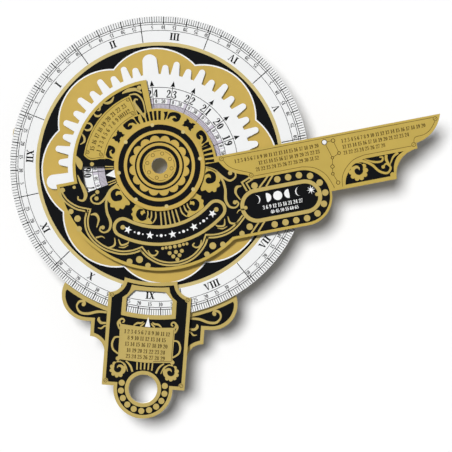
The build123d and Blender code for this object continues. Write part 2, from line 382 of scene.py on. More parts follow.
class Face:
    """A flat face that takes print: where it lies along Y, which way it looks, and what it rides on."""

    def __init__(self, name, body, y, behind=False):
        self.name = name
        self.body = body
        self.y = y
        self.out = 1 if behind else -1
        self.side = -1 if behind else 1

    def spot(self, x, z, height):
        """Where a point of the drawing lies, this many millimetres above the face."""
        return (self.side * x * MM, self.y + self.out * height * MM, z * MM)

    def print(self, what, ink, layer, shapes):
        """One ink's films, as one piece."""
        points = []
        faces = []
        for index, (flat, polygons) in enumerate(shapes):
            height = film * layer + film_step * (index % film_steps)
            first = len(points)
            count = len(flat)
            points += [self.spot(x, z, height) for x, z in flat]
            points += [self.spot(x, z, -sunk) for x, z in flat]
            borders = {}
            for polygon in polygons:
                ids = list(polygon)
                if area([flat[i] for i in ids]) < 0:
                    ids.reverse()
                faces.append([first + i for i in ids])
                faces.append([first + count + i for i in reversed(ids)])
                for a, b in zip(ids, ids[1:] + ids[:1]):
                    borders[(a, b)] = True
            for a, b in borders:
                if (b, a) not in borders:
                    faces.append([first + b, first + a, first + count + a, first + count + b])
        mesh = bpy.data.meshes.new(f"{self.name}_{what}")
        mesh.from_pydata(points, [], faces)
        mesh.update()
        mesh.materials.append(inks[ink][0])
        piece = bpy.data.objects.new(f"{self.name}_{what}", mesh)
        bpy.context.scene.collection.objects.link(piece)
        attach(piece, self.body)


class VaneFace(Face):
    """A broad face of a sighting vane, drawn with x across it and z up from the bar that it stands on."""

    def __init__(self, name, turn, outward):
        super().__init__(name, "alidade", far("alidade_bar"), behind=True)
        self.turn = radians(turn)
        self.outward = outward

    def spot(self, x, z, height):
        along = vane_at + self.outward * (vane_t / 2 + height)
        across = self.outward * x
        u = along * cos(self.turn) - across * sin(self.turn)
        v = along * sin(self.turn) + across * cos(self.turn)
        return (-u * MM, self.y + z * MM, v * MM)


# Materials

def tone(r, g, b):
    """A colour written as it is seen, 0 to 255, as the light it sends back."""
    return tuple((c / 255 / 12.92 if c <= 10 else ((c / 255 + 0.055) / 1.055) ** 2.4) for c in (r, g, b))


def scaled(colour, share):
    return (*[min(1.0, c * share) for c in colour], 1.0)


def card_material(name, colour, cloud=0.04, fibre=0.15, rough=0.5, metal=0.0, shine=0.15, core=None):
    """Printed or bare card: uneven ink, paper fibres under it and, where core is given, bare cut edges."""
    material = bpy.data.materials.new(name)
    material.use_nodes = True
    nodes = material.node_tree.nodes
    links = material.node_tree.links
    shader = nodes["Principled BSDF"]
    place = nodes.new("ShaderNodeTexCoord")

    def noise(scale, detail, stretch=None):
        texture = nodes.new("ShaderNodeTexNoise")
        texture.inputs["Scale"].default_value = scale
        texture.inputs["Detail"].default_value = detail
        if stretch:
            mapping = nodes.new("ShaderNodeMapping")
            mapping.inputs["Scale"].default_value = stretch
            links.new(place.outputs["Object"], mapping.inputs["Vector"])
            links.new(mapping.outputs["Vector"], texture.inputs["Vector"])
        else:
            links.new(place.outputs["Object"], texture.inputs["Vector"])
        return texture.outputs["Fac"]

    def mixed(factor, dark, light):
        mix = nodes.new("ShaderNodeMix")
        mix.data_type = "RGBA"
        links.new(factor, mix.inputs["Factor"])
        for socket, value in ((mix.inputs["A"], dark), (mix.inputs["B"], light)):
            if isinstance(value, tuple):
                socket.default_value = value
            else:
                links.new(value, socket)
        return mix.outputs["Result"]

    def ranged(value, low, high):
        span = nodes.new("ShaderNodeMapRange")
        span.inputs["From Min"].default_value = 0.3
        span.inputs["From Max"].default_value = 0.7
        span.inputs["To Min"].default_value = low
        span.inputs["To Max"].default_value = high
        links.new(value, span.inputs["Value"])
        return span.outputs["Result"]

    clouds = ranged(noise(90, 3), 0, 1)
    face = mixed(clouds, scaled(colour, 1 - cloud), scaled(colour, 1 + cloud))
    grain = noise(2600, 4)
    if core:
        layers = ranged(noise(1, 2, (300, 6500, 300)), 0, 1)
        edge = mixed(layers, scaled(core, 0.78), scaled(core, 1.06))
        geometry = nodes.new("ShaderNodeNewGeometry")
        parts = nodes.new("ShaderNodeSeparateXYZ")
        links.new(geometry.outputs["Normal"], parts.inputs["Vector"])
        size = nodes.new("ShaderNodeMath")
        size.operation = "ABSOLUTE"
        links.new(parts.outputs["Y"], size.inputs[0])
        flat = nodes.new("ShaderNodeMath")
        flat.operation = "GREATER_THAN"
        flat.inputs[1].default_value = 0.6
        links.new(size.outputs[0], flat.inputs[0])
        face = mixed(flat.outputs[0], edge, face)
    links.new(face, shader.inputs["Base Color"])
    links.new(ranged(grain, rough - 0.06, rough + 0.08), shader.inputs["Roughness"])
    shader.inputs["Metallic"].default_value = metal
    shader.inputs["Specular IOR Level"].default_value = shine
    bump = nodes.new("ShaderNodeBump")
    bump.inputs["Strength"].default_value = fibre
    bump.inputs["Distance"].default_value = 0.00003
    links.new(grain, bump.inputs["Height"])
    links.new(bump.outputs["Normal"], shader.inputs["Normal"])
    return material


white = tone(247, 248, 248)
black = tone(11, 12, 14)
golds = {
    "gold": tone(198, 168, 84),
    "pointer_gold": tone(193, 167, 82),
    "pale_gold": tone(205, 187, 127),
    "line_gold": tone(190, 168, 98),
    "dull_gold": tone(184, 168, 102),
    "ochre_gold": tone(190, 165, 84),
}
core = tone(206, 200, 176)
brown = tone(74, 58, 24)
bronze = {"metal": 0.14, "rough": 0.4, "shine": 0.2}

inks = {}
for name, colour in golds.items():
    inks[name] = (card_material(f"{name}_ink", colour, **bronze), "gold_print")
inks["white"] = (card_material("white_ink", white, cloud=0.01, shine=0.15), "white_print")
inks["lilac"] = (card_material("lilac_ink", tone(212, 205, 217), cloud=0.02, shine=0.15), "white_print")
inks["black"] = (card_material("black_ink", black, cloud=0.1, rough=0.45, shine=0.05), "black_print")
inks["brown"] = (card_material("brown_ink", brown, cloud=0.1, rough=0.5, shine=0.08), "black_print")

gold_card = card_material("gold_card", golds["gold"], core=core, **bronze)
pointer_card = card_material("pointer_card", golds["pointer_gold"], core=core, **bronze)
line_card = card_material("line_gold_card", golds["line_gold"], core=core, **bronze)
white_card = card_material("white_card", white, cloud=0.01, shine=0.15, core=core)
bare_card = card_material("bare_card", core, cloud=0.05, fibre=0.3, rough=0.75, shine=0.1, core=core)
paper = card_material("smooth_paper", tone(225, 223, 214), cloud=0.02, rough=0.6, shine=0.15)

finishes = {
    "front_board": line_card,
    "back_board": line_card,
    "handle_spacer": bare_card,
    "window_plate": line_card,
    "sight_tube": paper,
    "date_washer": paper,
    "dial_axle_ring": bare_card,
    "pointer_washer": paper,
    "front_rosette": gold_card,
    "alidade_washer": paper,
    "alidade_axle_ring": bare_card,
    "back_rosette": gold_card,
    "date_board": white_card,
    "hour_board": white_card,
    "pointer_plate": pointer_card,
    "alidade_bar": line_card,
}
for node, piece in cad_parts.items():
    piece.material_slots[0].material = finishes.get(node, bare_card)


# Ornament that several pieces share

def acanthus(r, x, z, turn, lobes, first, spread, paired=False):
    """Rolled leaves: their bodies with a lobed rim, the dark hollows in their rolls, and the curled tips."""
    rim = []
    steps = 7
    depth = 0.2
    for i in range(lobes * steps + 1):
        share = i / steps % 1
        rise = sin(pi * share) ** 0.7 if i % steps else 0.0
        rim.append(polar(r * (1 - depth + depth * rise), first + spread * i / (lobes * steps)))
    rest = 360 - spread
    rim += [polar(r * (0.8 + 0.12 * sin(pi * k / 8)), first + spread + rest * k / 8) for k in range(1, 8)]
    hollow = [
        disc(r * 0.44, r * 0.06, r * 0.02),
        stroke([(r * 0.42, r * 0.0), (r * 0.5, r * 0.36), (r * 0.14, r * 0.72), (-r * 0.36, r * 0.72)],
               (r * 0.24, r * 0.34, r * 0.24, r * 0.03)),
    ]
    tip = [stroke([(-r * 0.3, r * 0.36), (-r * 0.04, r * 0.44), (r * 0.2, r * 0.28), (r * 0.14, r * 0.04)],
                  (r * 0.1, r * 0.2, r * 0.18, r * 0.04))]
    parts = [placed(part, x, z, turn) for part in ([fill(rim)], hollow, tip)]
    return [both_sides(part) for part in parts] if paired else parts


def ring_beads(count, z):
    """Beads in the band round the finger hole, from its left."""
    return [disc(1.52, *polar(11.05, 168 + 20.4 * i, 0, z)) for i in range(count)]


def screw(x, z, r=1.1, turn=35.0):
    """A drawn screw head: its rim and its slot."""
    ux, uz = polar(r * 0.6, turn)
    return [ring(r, r - 0.26, x, z), line([(x - ux, z - uz), (x + ux, z + uz)], 0.2)]


def number_row(x0, x1, z, height, first, align=0):
    """As many whole numbers as the stretch holds, set to its left, its middle or its right."""
    text = str(first)
    number = first
    while True:
        number += 1
        longer = f"{text} {number}"
        if extent(figures(longer, height)) > x1 - x0:
            break
        text = longer
    shapes = figures(text, height)
    spare = (x1 - x0 - extent(shapes)) / 2
    return placed(shapes, (x0 + x1) / 2 + align * spare, z)


def extent(shapes):
    xs = [p[0] for points, faces in shapes for p in points]
    return max(xs) - min(xs)


def flutes(r0, r1, a0, a1, count, share):
    """Stripes along the radius, each a share of its step wide."""
    step = (a1 - a0) / count
    edges = [(a0 + step * (i + (1 - share) / 2), a0 + step * (i + (1 + share) / 2)) for i in range(count)]
    return [sector(r0, r1, *edge) for edge in edges]


def stadium(half, x0, x1, z):
    return arc(half, -90, 90, x1, z) + arc(half, 90, 270, x0, z)


# Date board

tick_out = dial_r - 0.15
tick_in = 72.0
scale_in = 71.0
day_in = 67.9
month_in = 62.2
month_figures_r = 65.1
ring_in = 60.3
scallop_crest = 58.9
scallop_cusp = 53.4
scallop_turn = 97.3
scallops = 8
scallop_line = 0.7
field_in = 21.0
month_days = (31, 28, 31, 30, 31, 30, 31, 31, 30, 31, 30, 31)
month_names = ("I", "II", "III", "IV", "V", "VI", "VII", "VIII", "IX", "X", "XI", "XII")
equinox_day = 80
year = 365.2422
scale_turn = 82.6


def date_angle(day):
    """Where a day of the year stands on the dial: it follows the sun's place among the stars."""
    mean = radians(360 * (day - equinox_day) / year)
    course = mean + radians(1.915) * (sin(mean + radians(77.5)) - sin(radians(77.5)))
    ascension = degrees(atan2(cos(radians(23.44)) * sin(course), cos(course)))
    return scale_turn - ascension


def lobed(crest, cusp, lobes, turn, steps=20):
    """A closed line of round lobes, with its cusps inward. The first lobe's middle stands at turn."""
    half = pi / lobes
    middle = (crest**2 - cusp**2) / (2 * (crest - cusp * cos(half)))
    radius = crest - middle
    reach = atan2(cusp * sin(half), cusp * cos(half) - middle)
    rim = []
    for lobe in range(lobes):
        base = radians(turn) + 2 * half * lobe
        for i in range(steps):
            a = -reach + 2 * reach * i / steps
            x = middle + radius * cos(a)
            z = radius * sin(a)
            rim.append((x * cos(base) - z * sin(base), x * sin(base) + z * cos(base)))
    return rim


def out_to(loop, r):
    """The points of a loop, each moved along its radius to a circle."""
    return [tuple(c * r / hypot(*p) for c in p) for p in loop]


def date_print():
    face = Face("date", "date_dial", near("date_board"))
    circles = ((tick_in, 0.16), (scale_in, 0.15), (day_in, 0.13))
    black_marks = [ring(r + half, r - half) for r, half in circles]
    first = 0
    for name, days in zip(month_names, month_days):
        black_marks.append(tick(month_in, tick_out, date_angle(first), 0.42))
        for day in range(1, days):
            angle = date_angle(first + day)
            if day % 5:
                black_marks.append(tick(tick_in, tick_out, angle, 0.27))
                continue
            black_marks.append(tick(scale_in, tick_out, angle, 0.5 if day % 10 == 0 else 0.38))
            black_marks += round_the_dial(str(day), 1.9, (scale_in + day_in) / 2, angle)
        middle = date_angle(first + days / 2)
        black_marks += round_the_dial(name, 3.6, month_figures_r, middle, width=1.1)
        first += days
    face.print("black_marks", "black", 1, black_marks)
    face.print("gold_field", "gold", 1, [ring(ring_in, field_in)])
    face.print("gold_ring", "pale_gold", 1, [ring(month_in - 0.1, ring_in)])
    edge = lobed(scallop_crest, scallop_cusp, scallops, scallop_turn)
    face.print("black_band", "black", 2, [strip(out_to(edge, ring_in), edge, True)])
    face.print("scalloped_line", "white", 3, [line(edge, scallop_line, True)])


date_print()


# Hour board

hour_count = 24
midnight_angle = 99.7
hour_step = 15.0
hour_ring_r = 39.3
hour_scale_in = 27.3
hour_scale_mid = 31.0
hour_scale_out = 33.7
hour_small_r = 32.35
hour_figures_r = 36.3
hour_figures_apart = 1.5
hour_line_out = 40.6
arrow_in = 39.9
arrow_out = 42.9


def arrow(r0, r1, a, half):
    return fill(on_radius([(r0, -half), (r1, 0), (r0, half), (r0 + 0.35, 0)], a))


def hour_print():
    face = Face("hour", "date_dial", near("hour_board"))
    circles = ((hour_ring_r, 0.15), (hour_scale_in, 0.1), (hour_scale_mid, 0.1), (hour_scale_out, 0.13))
    marks = [ring(r + half, r - half) for r, half in circles]
    labels = []
    label_marks = []
    for hour in range(1, hour_count + 1):
        angle = midnight_angle + hour * hour_step
        marks.append(tick(hour_scale_in, hour_line_out, angle, 0.34))
        marks.append(arrow(arrow_in, arrow_out, angle, 1.15))
        for side, name in zip((1, -1), f"{hour:02}"):
            at = angle + side * degrees(hour_figures_apart / hour_figures_r)
            marks += round_the_dial(name, 3.9, hour_figures_r, at, tops_in=False)
        for twelfth in range(1, 12):
            marks.append(tick(hour_scale_in, hour_scale_mid, angle + twelfth * hour_step / 12, 0.14))
        for name, part, half_w in (("0", 1 / 6, 1.15), ("30", 7 / 12, 2.0)):
            at = angle - part * hour_step
            reach = degrees(half_w / hour_small_r)
            labels.append(sector(hour_scale_mid + 0.25, hour_scale_out - 0.25, at - reach, at + reach))
            label_marks += round_the_dial(name, 1.9, hour_small_r, at, tops_in=False)
    face.print("tint", "lilac", 1, [ring(hour_scale_out, hour_scale_in)])
    face.print("black_marks", "black", 2, marks)
    face.print("labels", "white", 3, labels)
    face.print("label_marks", "black", 4, label_marks)


hour_print()


# Rosettes

petals = 16
petal_tip_r = 15.2
petal_foot_r = 13.2
petal_ground_r = 16.2
eyelets_r = 6.2
studs_r = 20.6


def rosette_print(face, turn, stud, studs_ink):
    black_bands = [ring(10.07, 8.4), ring(12.3, 11.45), ring(studs_r, 17.8)]
    edge = lobed(petal_tip_r, petal_foot_r, petals, turn, steps=8)
    black_bands.append(strip(out_to(edge, petal_ground_r), edge, True))
    face.print("black_bands", "black", 1, black_bands)
    fine = []
    studs = []
    for i in range(8):
        angle = turn + 45 * i
        fine.append(ring(0.95, 0.72, *polar(eyelets_r, turn + 22.5 + 45 * i)))
        fine.append(line(arc(7.5, angle - 14, angle + 14), 0.2))
        studs.append(disc(stud, *polar(studs_r, angle)))
    face.print("fine_lines", "brown", 2, fine)
    face.print("studs", studs_ink, 2, studs)


rosette_print(Face("front_rosette", "base", near("front_rosette")), pointer_turn - 0.8, 0.95, "pale_gold")


# Pointer, drawn in its own frame, where the arm runs along x

body_r = 52.5
upper_r = 43.5
border = 1.5
hub_under = 22.0
reader_out = 38.5
reader_in = 27.5
reader_half = 10.0
banner_z = 4.1
banner_r = 39.0
banner_first = -127.6
banner_last = -52.4


def pointer_fields():
    """The black grounds of the body, of the quarter above the window and of the arm's small scroll field."""
    rim = body_r - border
    low = -41.8
    bay_x, bay_z = 68.0, -28.6
    corner = degrees(asin(low / rim)) + 360
    panel_edge = smooth([(43.2, -15.4), (42.3, -13.0), (37.2, -11.0), (33.2, -8.6), (30.8, -5.8),
                         (29.4, -3.6)])
    hub_angle = -9.5
    body = arc(rim, 180 + reader_half, corner)
    body += arc(bay_z - low, -90, 90, bay_x, bay_z)
    body += panel_edge
    body += arc(hub_under, 360 + hub_angle, 180 + reader_half)
    quarter = upper_r - border
    scroll_field = smooth([(89.6, -26.8), (90.6, -23.4), (93, -20), (96.2, -17.4), (99.5, -16.1),
                           (103, -15.7)])
    scroll_field += smooth([(121.3, -15.7), (117.6, -17.9), (115.3, -21.7), (114.3, -26.8)])
    return [
        fill(body),
        sector(reader_out, rim, 181.4, 180 + reader_half),
        sector(reader_out, quarter, 160, 181.4),
        sector(hub_under, reader_in, 163, 180 + reader_half),
        sector(reader_in, reader_out, 160, 180 - reader_half),
        sector(27.6, quarter, 92.2, 160),
        fill(scroll_field),
    ]


def hub_marks():
    """Black marks on the hub's gold: fans of stripes, rolled strokes beside them, and spools between."""
    fan = (22.9, 27.5)
    step = 4.7
    axis = 88.6
    roll = [
        disc(2.15, 12.1, 22.4),
        stroke([(13.5, 21.8), (13.5, 22.9), (11.8, 24.0), (9.6, 24.3), (7.9, 22.4)],
               (1.2, 2.4, 2.4, 1.9, 0.5)),
        stroke([(7.5, 26.2), (7.3, 24.4), (6.2, 22.3)], (2.2, 1.4, 0.5)),
    ]
    hook = [stroke([(8.9, 21.8), (9.9, 22.6), (11.3, 22.9), (12.2, 21.9)], (0.5, 1.1, 0.9, 0.2))]
    half_rim = [(-2.7, 2.2), (-1.0, 1.9), (-0.7, 1.3), (0.7, 1.3), (1.0, 1.9), (2.7, 2.2), (2.3, 1.0),
                (2.8, 0), (2.3, -1.0)]
    spool = fill(half_rim + [(-x, -z) for x, z in half_rim])
    half = placed(roll, turn=axis - 90)
    half_hook = placed(hook, turn=axis - 90)
    between_fans = 43.0
    mirror = 2 * between_fans - 180
    half += placed(half, turn=mirror, flip=True)
    half_hook += placed(half_hook, turn=mirror, flip=True)
    shapes = half + placed(half, turn=2 * axis - 180, flip=True)
    tips = half_hook + placed(half_hook, turn=2 * axis - 180, flip=True)
    shapes += flutes(*fan, axis - 2.5 * step, axis + 2.5 * step, 5, 0.62)
    shapes += flutes(*fan, -8, 13, 4, 0.62)
    for angle in (43.6, 133.8):
        x, z = polar(25.2, angle)
        shapes += placed([spool], x, z, angle - 90)
    return shapes, tips


def on_banner(a, out=0.0):
    """A point on the banner's middle line, or this far out from it."""
    return polar(banner_r + out, a, 0, banner_z)


def banner(half):
    """The outline of the curved banner, this far out from its middle line."""
    span = banner_last - banner_first
    outer = [on_banner(banner_first + span * i / 40, half) for i in range(41)]
    inner = [on_banner(banner_last - span * i / 40, -half) for i in range(41)]
    right_end = [polar(half, banner_last + 180 * i / 12, *on_banner(banner_last)) for i in range(1, 12)]
    left_end = [polar(half, -banner_last + 180 * i / 12, *on_banner(banner_first)) for i in range(1, 12)]
    return outer + right_end + inner + left_end


def banner_stars():
    """Stars along the banner, with three dots between each two."""
    shapes = []
    count = 9
    span = banner_last - banner_first
    for i in range(count):
        angle = banner_first + span * (i + 0.5) / count
        if i % 2 == 0:
            shapes.append(star(2.1, *on_banner(angle), turn=angle + 180))
        else:
            shapes.append(disc(0.75, *on_banner(angle)))
            shapes += [disc(0.42, *on_banner(angle + side * 3.1)) for side in (-1, 1)]
    return shapes


def scalloped_border():
    """The double line along the body's rim, from the upper left corner to the arm's long field."""
    left = [(-51.2, -3.6), (-49, -8.6), (-44.6, -12.8), (-38.9, -15.3)]
    side = [(-38.9, -15.3), (-41.0, -20), (-41.1, -25.5), (-38.6, -31), (-34, -35.6), (-27.5, -38.9),
            (-21.5, -39.7), (-16.6, -39.0)]
    bowl = [(-16.6, -39.0), (-14.2, -43), (-9.8, -46.9), (-5, -49), (0, -49.7)]
    low = smooth(bowl) + [(-x, z) for x, z in reversed(smooth(bowl)[:-1])]
    right = smooth([(16.6, -39.0), (21.5, -39.7), (27, -39.0), (32, -36.6), (36.6, -32.6)])
    path = smooth(left)[:-1] + smooth(side)[:-1] + low[:-1] + right
    return [line(beside(path, -0.72), 0.85), line(beside(path, 0.68), 0.8)]


def body_scrolls(right):
    """The scrolls in the black ground on one side of the body."""
    curl_top = [(22.0, -4.6), (26.6, -7.2), (30.0, -11.4), (33.2, -13.9), (36.2, -12.6), (36.4, -10.0),
                (34.4, -9.3)]
    if not right:
        curl_top = [(22.0, -4.6), (26.4, -7.2), (29.4, -10.6), (33.0, -12.9), (36.2, -11.8), (36.6, -9.2),
                    (34.2, -8.0)]
    shapes = [stroke(curl_top, (0.5, 1.0, 1.1, 1.0, 0.8, 0.8, 0.7)), disc(1.05, 34.0, -10.2)]
    shapes.append(stroke([(27.4, -8.6), (29.6, -13), (30.1, -18), (29.3, -23), (30.6, -26.6), (33.4, -27.6),
                          (35.3, -26.0), (34.4, -24.3)], (0.5, 1.2, 1.3, 1.4, 1.1, 0.8, 0.8, 0.7)))
    shapes.append(disc(1.0, 33.6, -25.0))
    shapes.append(stroke([(38.4, -17.6), (35.9, -17.9), (34.9, -20.6), (36.6, -24.4)], (0.5, 1.5, 1.1, 0.4)))
    shapes.append(stroke([(38, -29.4), (35, -29.3), (33.6, -30.6)], (0.9, 0.6, 0.2)))
    shapes.append(stroke([(28.8, -31.2), (29.4, -34.6), (32.4, -35.5), (33.8, -34.6)], (0.3, 1.0, 0.8, 0.3)))
    shapes.append(stroke([(27, -32.2), (26.2, -35.3), (23.2, -35.2), (22, -34.2)], (0.3, 0.9, 0.9, 0.3)))
    shapes.append(stroke([(22.6, -36.0), (25.0, -36.8), (27.6, -36.2)], (0.2, 0.7, 0.3)))
    return shapes if right else placed(shapes, flip=True)


def hub_leaves():
    """The leaves round the lower half of the hub: gold bodies, black hollows and gold tips."""
    gold_parts = []
    hollows = []
    tips = []
    upper = [(22.4, -5.6), (25.0, -6.2), (27.5, -8.2), (28.7, -11.2), (28.3, -13.2), (27.6, -13.8),
             (27.9, -15.4), (26.8, -16.1), (26.0, -16.3), (25.4, -17.8), (24.2, -18.0), (23.5, -17.2),
             (22.0, -17.9), (21.0, -17.1), (20.3, -16.2), (18.4, -16.4), (18.2, -14.8), (20.4, -10.8)]
    lower = [(13.4, -18.2), (15.2, -16.9), (16.4, -17.9), (17.6, -18.8), (17.4, -20.1), (18.4, -21.2),
             (17.9, -22.6), (18.0, -24.2), (16.4, -25.4), (12.9, -26.9), (9.6, -27.9), (8.9, -27.2),
             (10.1, -24.8), (11.2, -22.2), (11.9, -19.9)]
    for flip in (False, True):
        gold_parts += placed([fill(smooth(loop, closed=True, per=4)) for loop in (upper, lower)], flip=flip)
        hollows += placed([
            stroke([(21.6, -8.6), (23.6, -7.9), (25.4, -9.4), (25.0, -11.8), (23.0, -12.3)],
                   (0.5, 1.5, 2.5, 2.7, 2.4)),
            disc(1.6, 22.8, -11.9),
            stroke([(12.0, -20.2), (13.9, -20.1), (14.9, -22.0), (13.7, -24.1), (11.8, -24.0)],
                   (0.6, 1.5, 2.5, 2.7, 2.4)),
            disc(1.6, 11.7, -23.5),
        ], flip=flip)
        tips += placed([
            stroke([(6.2, -22.0), (6.7, -25.2), (8.7, -27.6)], (0.5, 0.8, 0.5)),
            stroke([(8.2, -21.5), (8.8, -24.4), (10.8, -26.8)], (0.5, 0.8, 0.5)),
            stroke([(10.0, -21.0), (10.2, -22.8), (11.3, -24.9)], (0.5, 0.7, 0.3)),
        ], flip=flip)
    stripes = [line([(x * 0.9, -22.6), (x * 1.1, -29.8)], 0.75) for x in (-4.2, -2.1, 0, 2.1, 4.2)]
    return gold_parts, hollows, tips, stripes


def plate_in_the_quarter():
    """The curved plate over the reading window, with its screws and its rows of numbers."""
    r0, r1, a0, a1 = 27.5, 38.2, 102.0, 161.5
    plate = arc(r1, a0, a1) + smooth([polar(r1, a1), polar(34.6, 164.4), polar(29.5, 162.5)])[1:]
    plate += arc(r0, 162, a0)
    rim = inset(plate, 0.8)
    marks = [line(rim, 0.22, True)]
    for r, a in ((36.6, 104.8), (36.6, 158.5), (29.6, 106.2), (29.8, 158.2)):
        marks += screw(*polar(r, a), 0.95)
    for first, count, r in ((15, 9, 34.7), (1, 12, 31.3)):
        step = 50.0 / count
        for i in range(count):
            angle = 132.5 + step * ((count - 1) / 2 - i)
            marks += round_the_dial(str(first + i), 2.2, r, angle, tops_in=False)
    return [fill(plate)], marks


def quarter_ornament():
    """Leaves in the black band outside the plate and in the corner beside it."""
    leaf = smooth([(-40.4, 12.6), (-38.8, 11.4), (-37.6, 9.0), (-37.9, 6.9), (-38.9, 5.4), (-40.0, 6.6),
                   (-40.8, 9.4)], closed=True)
    shapes = [
        stroke([(-11.6, 39.0), (-8.4, 39.9), (-4.6, 39.7), (-1.9, 37.4)], (0.4, 1.8, 1.6, 0.6)),
        stroke([(-8.2, 37.6), (-4.8, 37.3), (-2.4, 34.2), (-1.9, 29.0), (-2.5, 24.6)],
               (0.5, 0.9, 0.8, 0.6, 0.3)),
        stroke([(-4.5, 34.4), (-5.7, 34.9), (-6.5, 33.2), (-5.6, 30.4), (-4.0, 27.6), (-3.0, 24.9)],
               (0.6, 0.8, 1.3, 2.0, 1.2, 0.3)),
        stroke([(-22.0, 36.3), (-19.7, 35.6), (-17.5, 36.2), (-16.0, 38.2)], (0.3, 1.3, 1.2, 0.4)),
        stroke([(-22.2, 35.4), (-23.7, 34.6), (-24.2, 33.1), (-25.4, 32.9)], (0.3, 1.0, 0.9, 0.4)),
        stroke([(-27.4, 32.0), (-26.6, 30.5), (-25.0, 30.1), (-23.5, 31.0)], (0.4, 1.0, 1.0, 0.3)),
        stroke([(-32.0, 27.6), (-30.3, 27.3), (-29.5, 25.7), (-30.6, 24.3), (-32.3, 24.2), (-33.5, 25.2)],
               (0.4, 0.9, 0.9, 1.0, 0.9, 0.4)),
        stroke([(-35.3, 23.2), (-34.3, 21.0), (-34.7, 18.9), (-37.0, 17.9)], (0.3, 1.1, 1.0, 0.3)),
        fill(leaf),
        stroke([(-41.1, 3.0), (-40.4, -0.6), (-39.5, -3.6), (-39.0, -7.4), (-40.6, -9.9), (-43.0, -9.0),
                (-42.8, -7.4)], (0.4, 1.2, 1.7, 1.9, 1.1, 0.8, 0.7)),
        disc(1.15, -2.7, 40.1),
        disc(0.8, -43.9, -2.6),
        disc(1.3, -50.0, -2.9),
        disc(1.0, -33.0, 7.1),
        disc(1.0, -33.0, -7.1),
    ]
    shapes += [line([polar(23.0, 180 + a), polar(27.2, 180 + a * 1.05)], 0.5) for a in (-9.6, -7.0, 7.0, 9.6)]
    return shapes


def long_field():
    """The arm's long field: a gold ring round a black tablet, beads and stripes about it."""
    tablet_z = -28.75
    tablet = (44.35, 68.65, tablet_z)
    gold_parts = [fill(stadium(8.55, *tablet), stadium(6.6, *tablet))]
    gold_parts += [disc(0.95, x, tablet_z) for x in (38.4, 74.7)]
    for x, z in ((44.8, -18.7), (56.6, -17.7), (62.1, -17.7), (67.6, -17.7), (73.0, -19.1), (77.1, -23.3),
                 (78.9, -28.7), (77.2, -34.1), (73.2, -38.2), (67.6, -39.6), (62.1, -39.6), (56.6, -39.6),
                 (51.1, -39.6), (38.6, -38.4)):
        gold_parts.append(disc(1.62, x, z))
    gold_parts.append(disc(1.35, 34.2, -41.0))
    for x0, z0, x1, z1 in ((46.9, -20.2, 52.3, -15.2), (50.4, -20.2, 54.8, -15.2), (38.8, -41.8, 43.4, -37.2),
                           (42.3, -41.8, 46.4, -37.2)):
        gold_parts.append(line([(x0, z0), (x1, z1)], 0.85))
    gold_parts.append(line([(43.2, -14.2), (38.9, -15.9), (40.6, -20.6)], 0.9))
    gold_parts.append(line([(44.6, -15.3), (41.0, -16.7), (42.4, -20.4)], 0.7))
    white_parts = []
    moons = 5
    for i in range(moons):
        x = 44.1 + i * 5.6
        white_parts.append(moon(2.3, x, -25.7, (i - moons // 2) / (moons // 2)))
    white_parts.append(star(2.3, 72.2, -26.0, points=8, waist=0.3))
    white_parts += placed(figures("3 6 9 12 15 18 21 24 27", 1.9), 57.0, -30.3)
    white_parts += placed(figures("40 45 50 55 60 65", 1.7), 57.4, -33.1)
    return gold_parts, white_parts


def moon(r, x, z, phase):
    """The lit part of the moon: full at 0, thinner towards -1 and 1, with its round side left and right."""
    lit = 1 - 1.75 * abs(phase)
    side = 1 if phase < 0 else -1
    outer = [(x + side * r * cos(radians(a)), z + r * sin(radians(a))) for a in range(-90, 91, 12)]
    inner = [(x - side * r * lit * cos(radians(a)), z + r * sin(radians(a))) for a in range(-90, 91, 12)]
    return strip(outer, inner)


def arm_lines():
    """The thin lines, screws, stars and rows of numbers on the arm's gold panel."""
    thin = 0.24
    left_end = smooth([(44.6, -12.2), (40.8, -10.6), (36.4, -8.6), (33.4, -6.2), (31.8, -3.4)])
    beak_end = smooth([(139.4, -4.0), (136.6, -7.4), (133.0, -9.4), (128.2, -10.0), (127.2, -12.3)])
    long_end = [(45.4, -13.9)]
    long_end += smooth([(70, -13.9), (76, -15.6), (80.8, -19.8), (83.4, -25.6), (83.8, -27.4)])
    scroll_end = [(125.8, -13.9)]
    scroll_end += smooth([(101.5, -13.9), (96, -15.2), (91.6, -18.4), (88.8, -22.6), (88.0, -27.4)])
    shapes = [line([(32.2, -1.9), (138.8, -1.9)], thin)]
    shapes += [line(path, thin) for path in (left_end, beak_end, long_end, scroll_end)]
    for x, z in ((31.0, -2.4), (44.2, -13.3), (139.8, -2.7), (126.9, -13.4)):
        shapes += screw(x, z, 1.15)
    stars = ((83.2, -3.9, 1.45), (87.6, -3.9, 1.1), (89.4, -10.6, 0.9), (85.7, -12.3, 0.8),
             (84.9, -16.6, 1.05), (84.4, -20.2, 0.85), (86.2, -25.0, 1.05))
    order = (0, 1, 2, 3, 0)
    for a, b in list(zip(order, order[1:])) + [(3, 4), (4, 5), (5, 6)]:
        shapes.append(line([stars[a][:2], stars[b][:2]], thin))
    for x, z, r in stars:
        shapes.append(ring(r, r - 0.36, x, z))
    left_rows = ((37.2, 80, -4.9, 1), (46.8, 80, -7.9, 12), (45.6, 79, -10.9, 21))
    right_rows = ((91.6, 135.4, -4.9, 1), (91.6, 126, -7.9, 12), (91.6, 115, -10.9, 21))
    for rows, align in ((left_rows, 1), (right_rows, -1)):
        for x0, x1, z, first in rows:
            shapes += number_row(x0, x1, z, 1.9, first, align)
    return shapes, [disc(1.1, 83.2, -3.9)], [disc(r - 0.34, x, z) for x, z, r in stars[1:]]


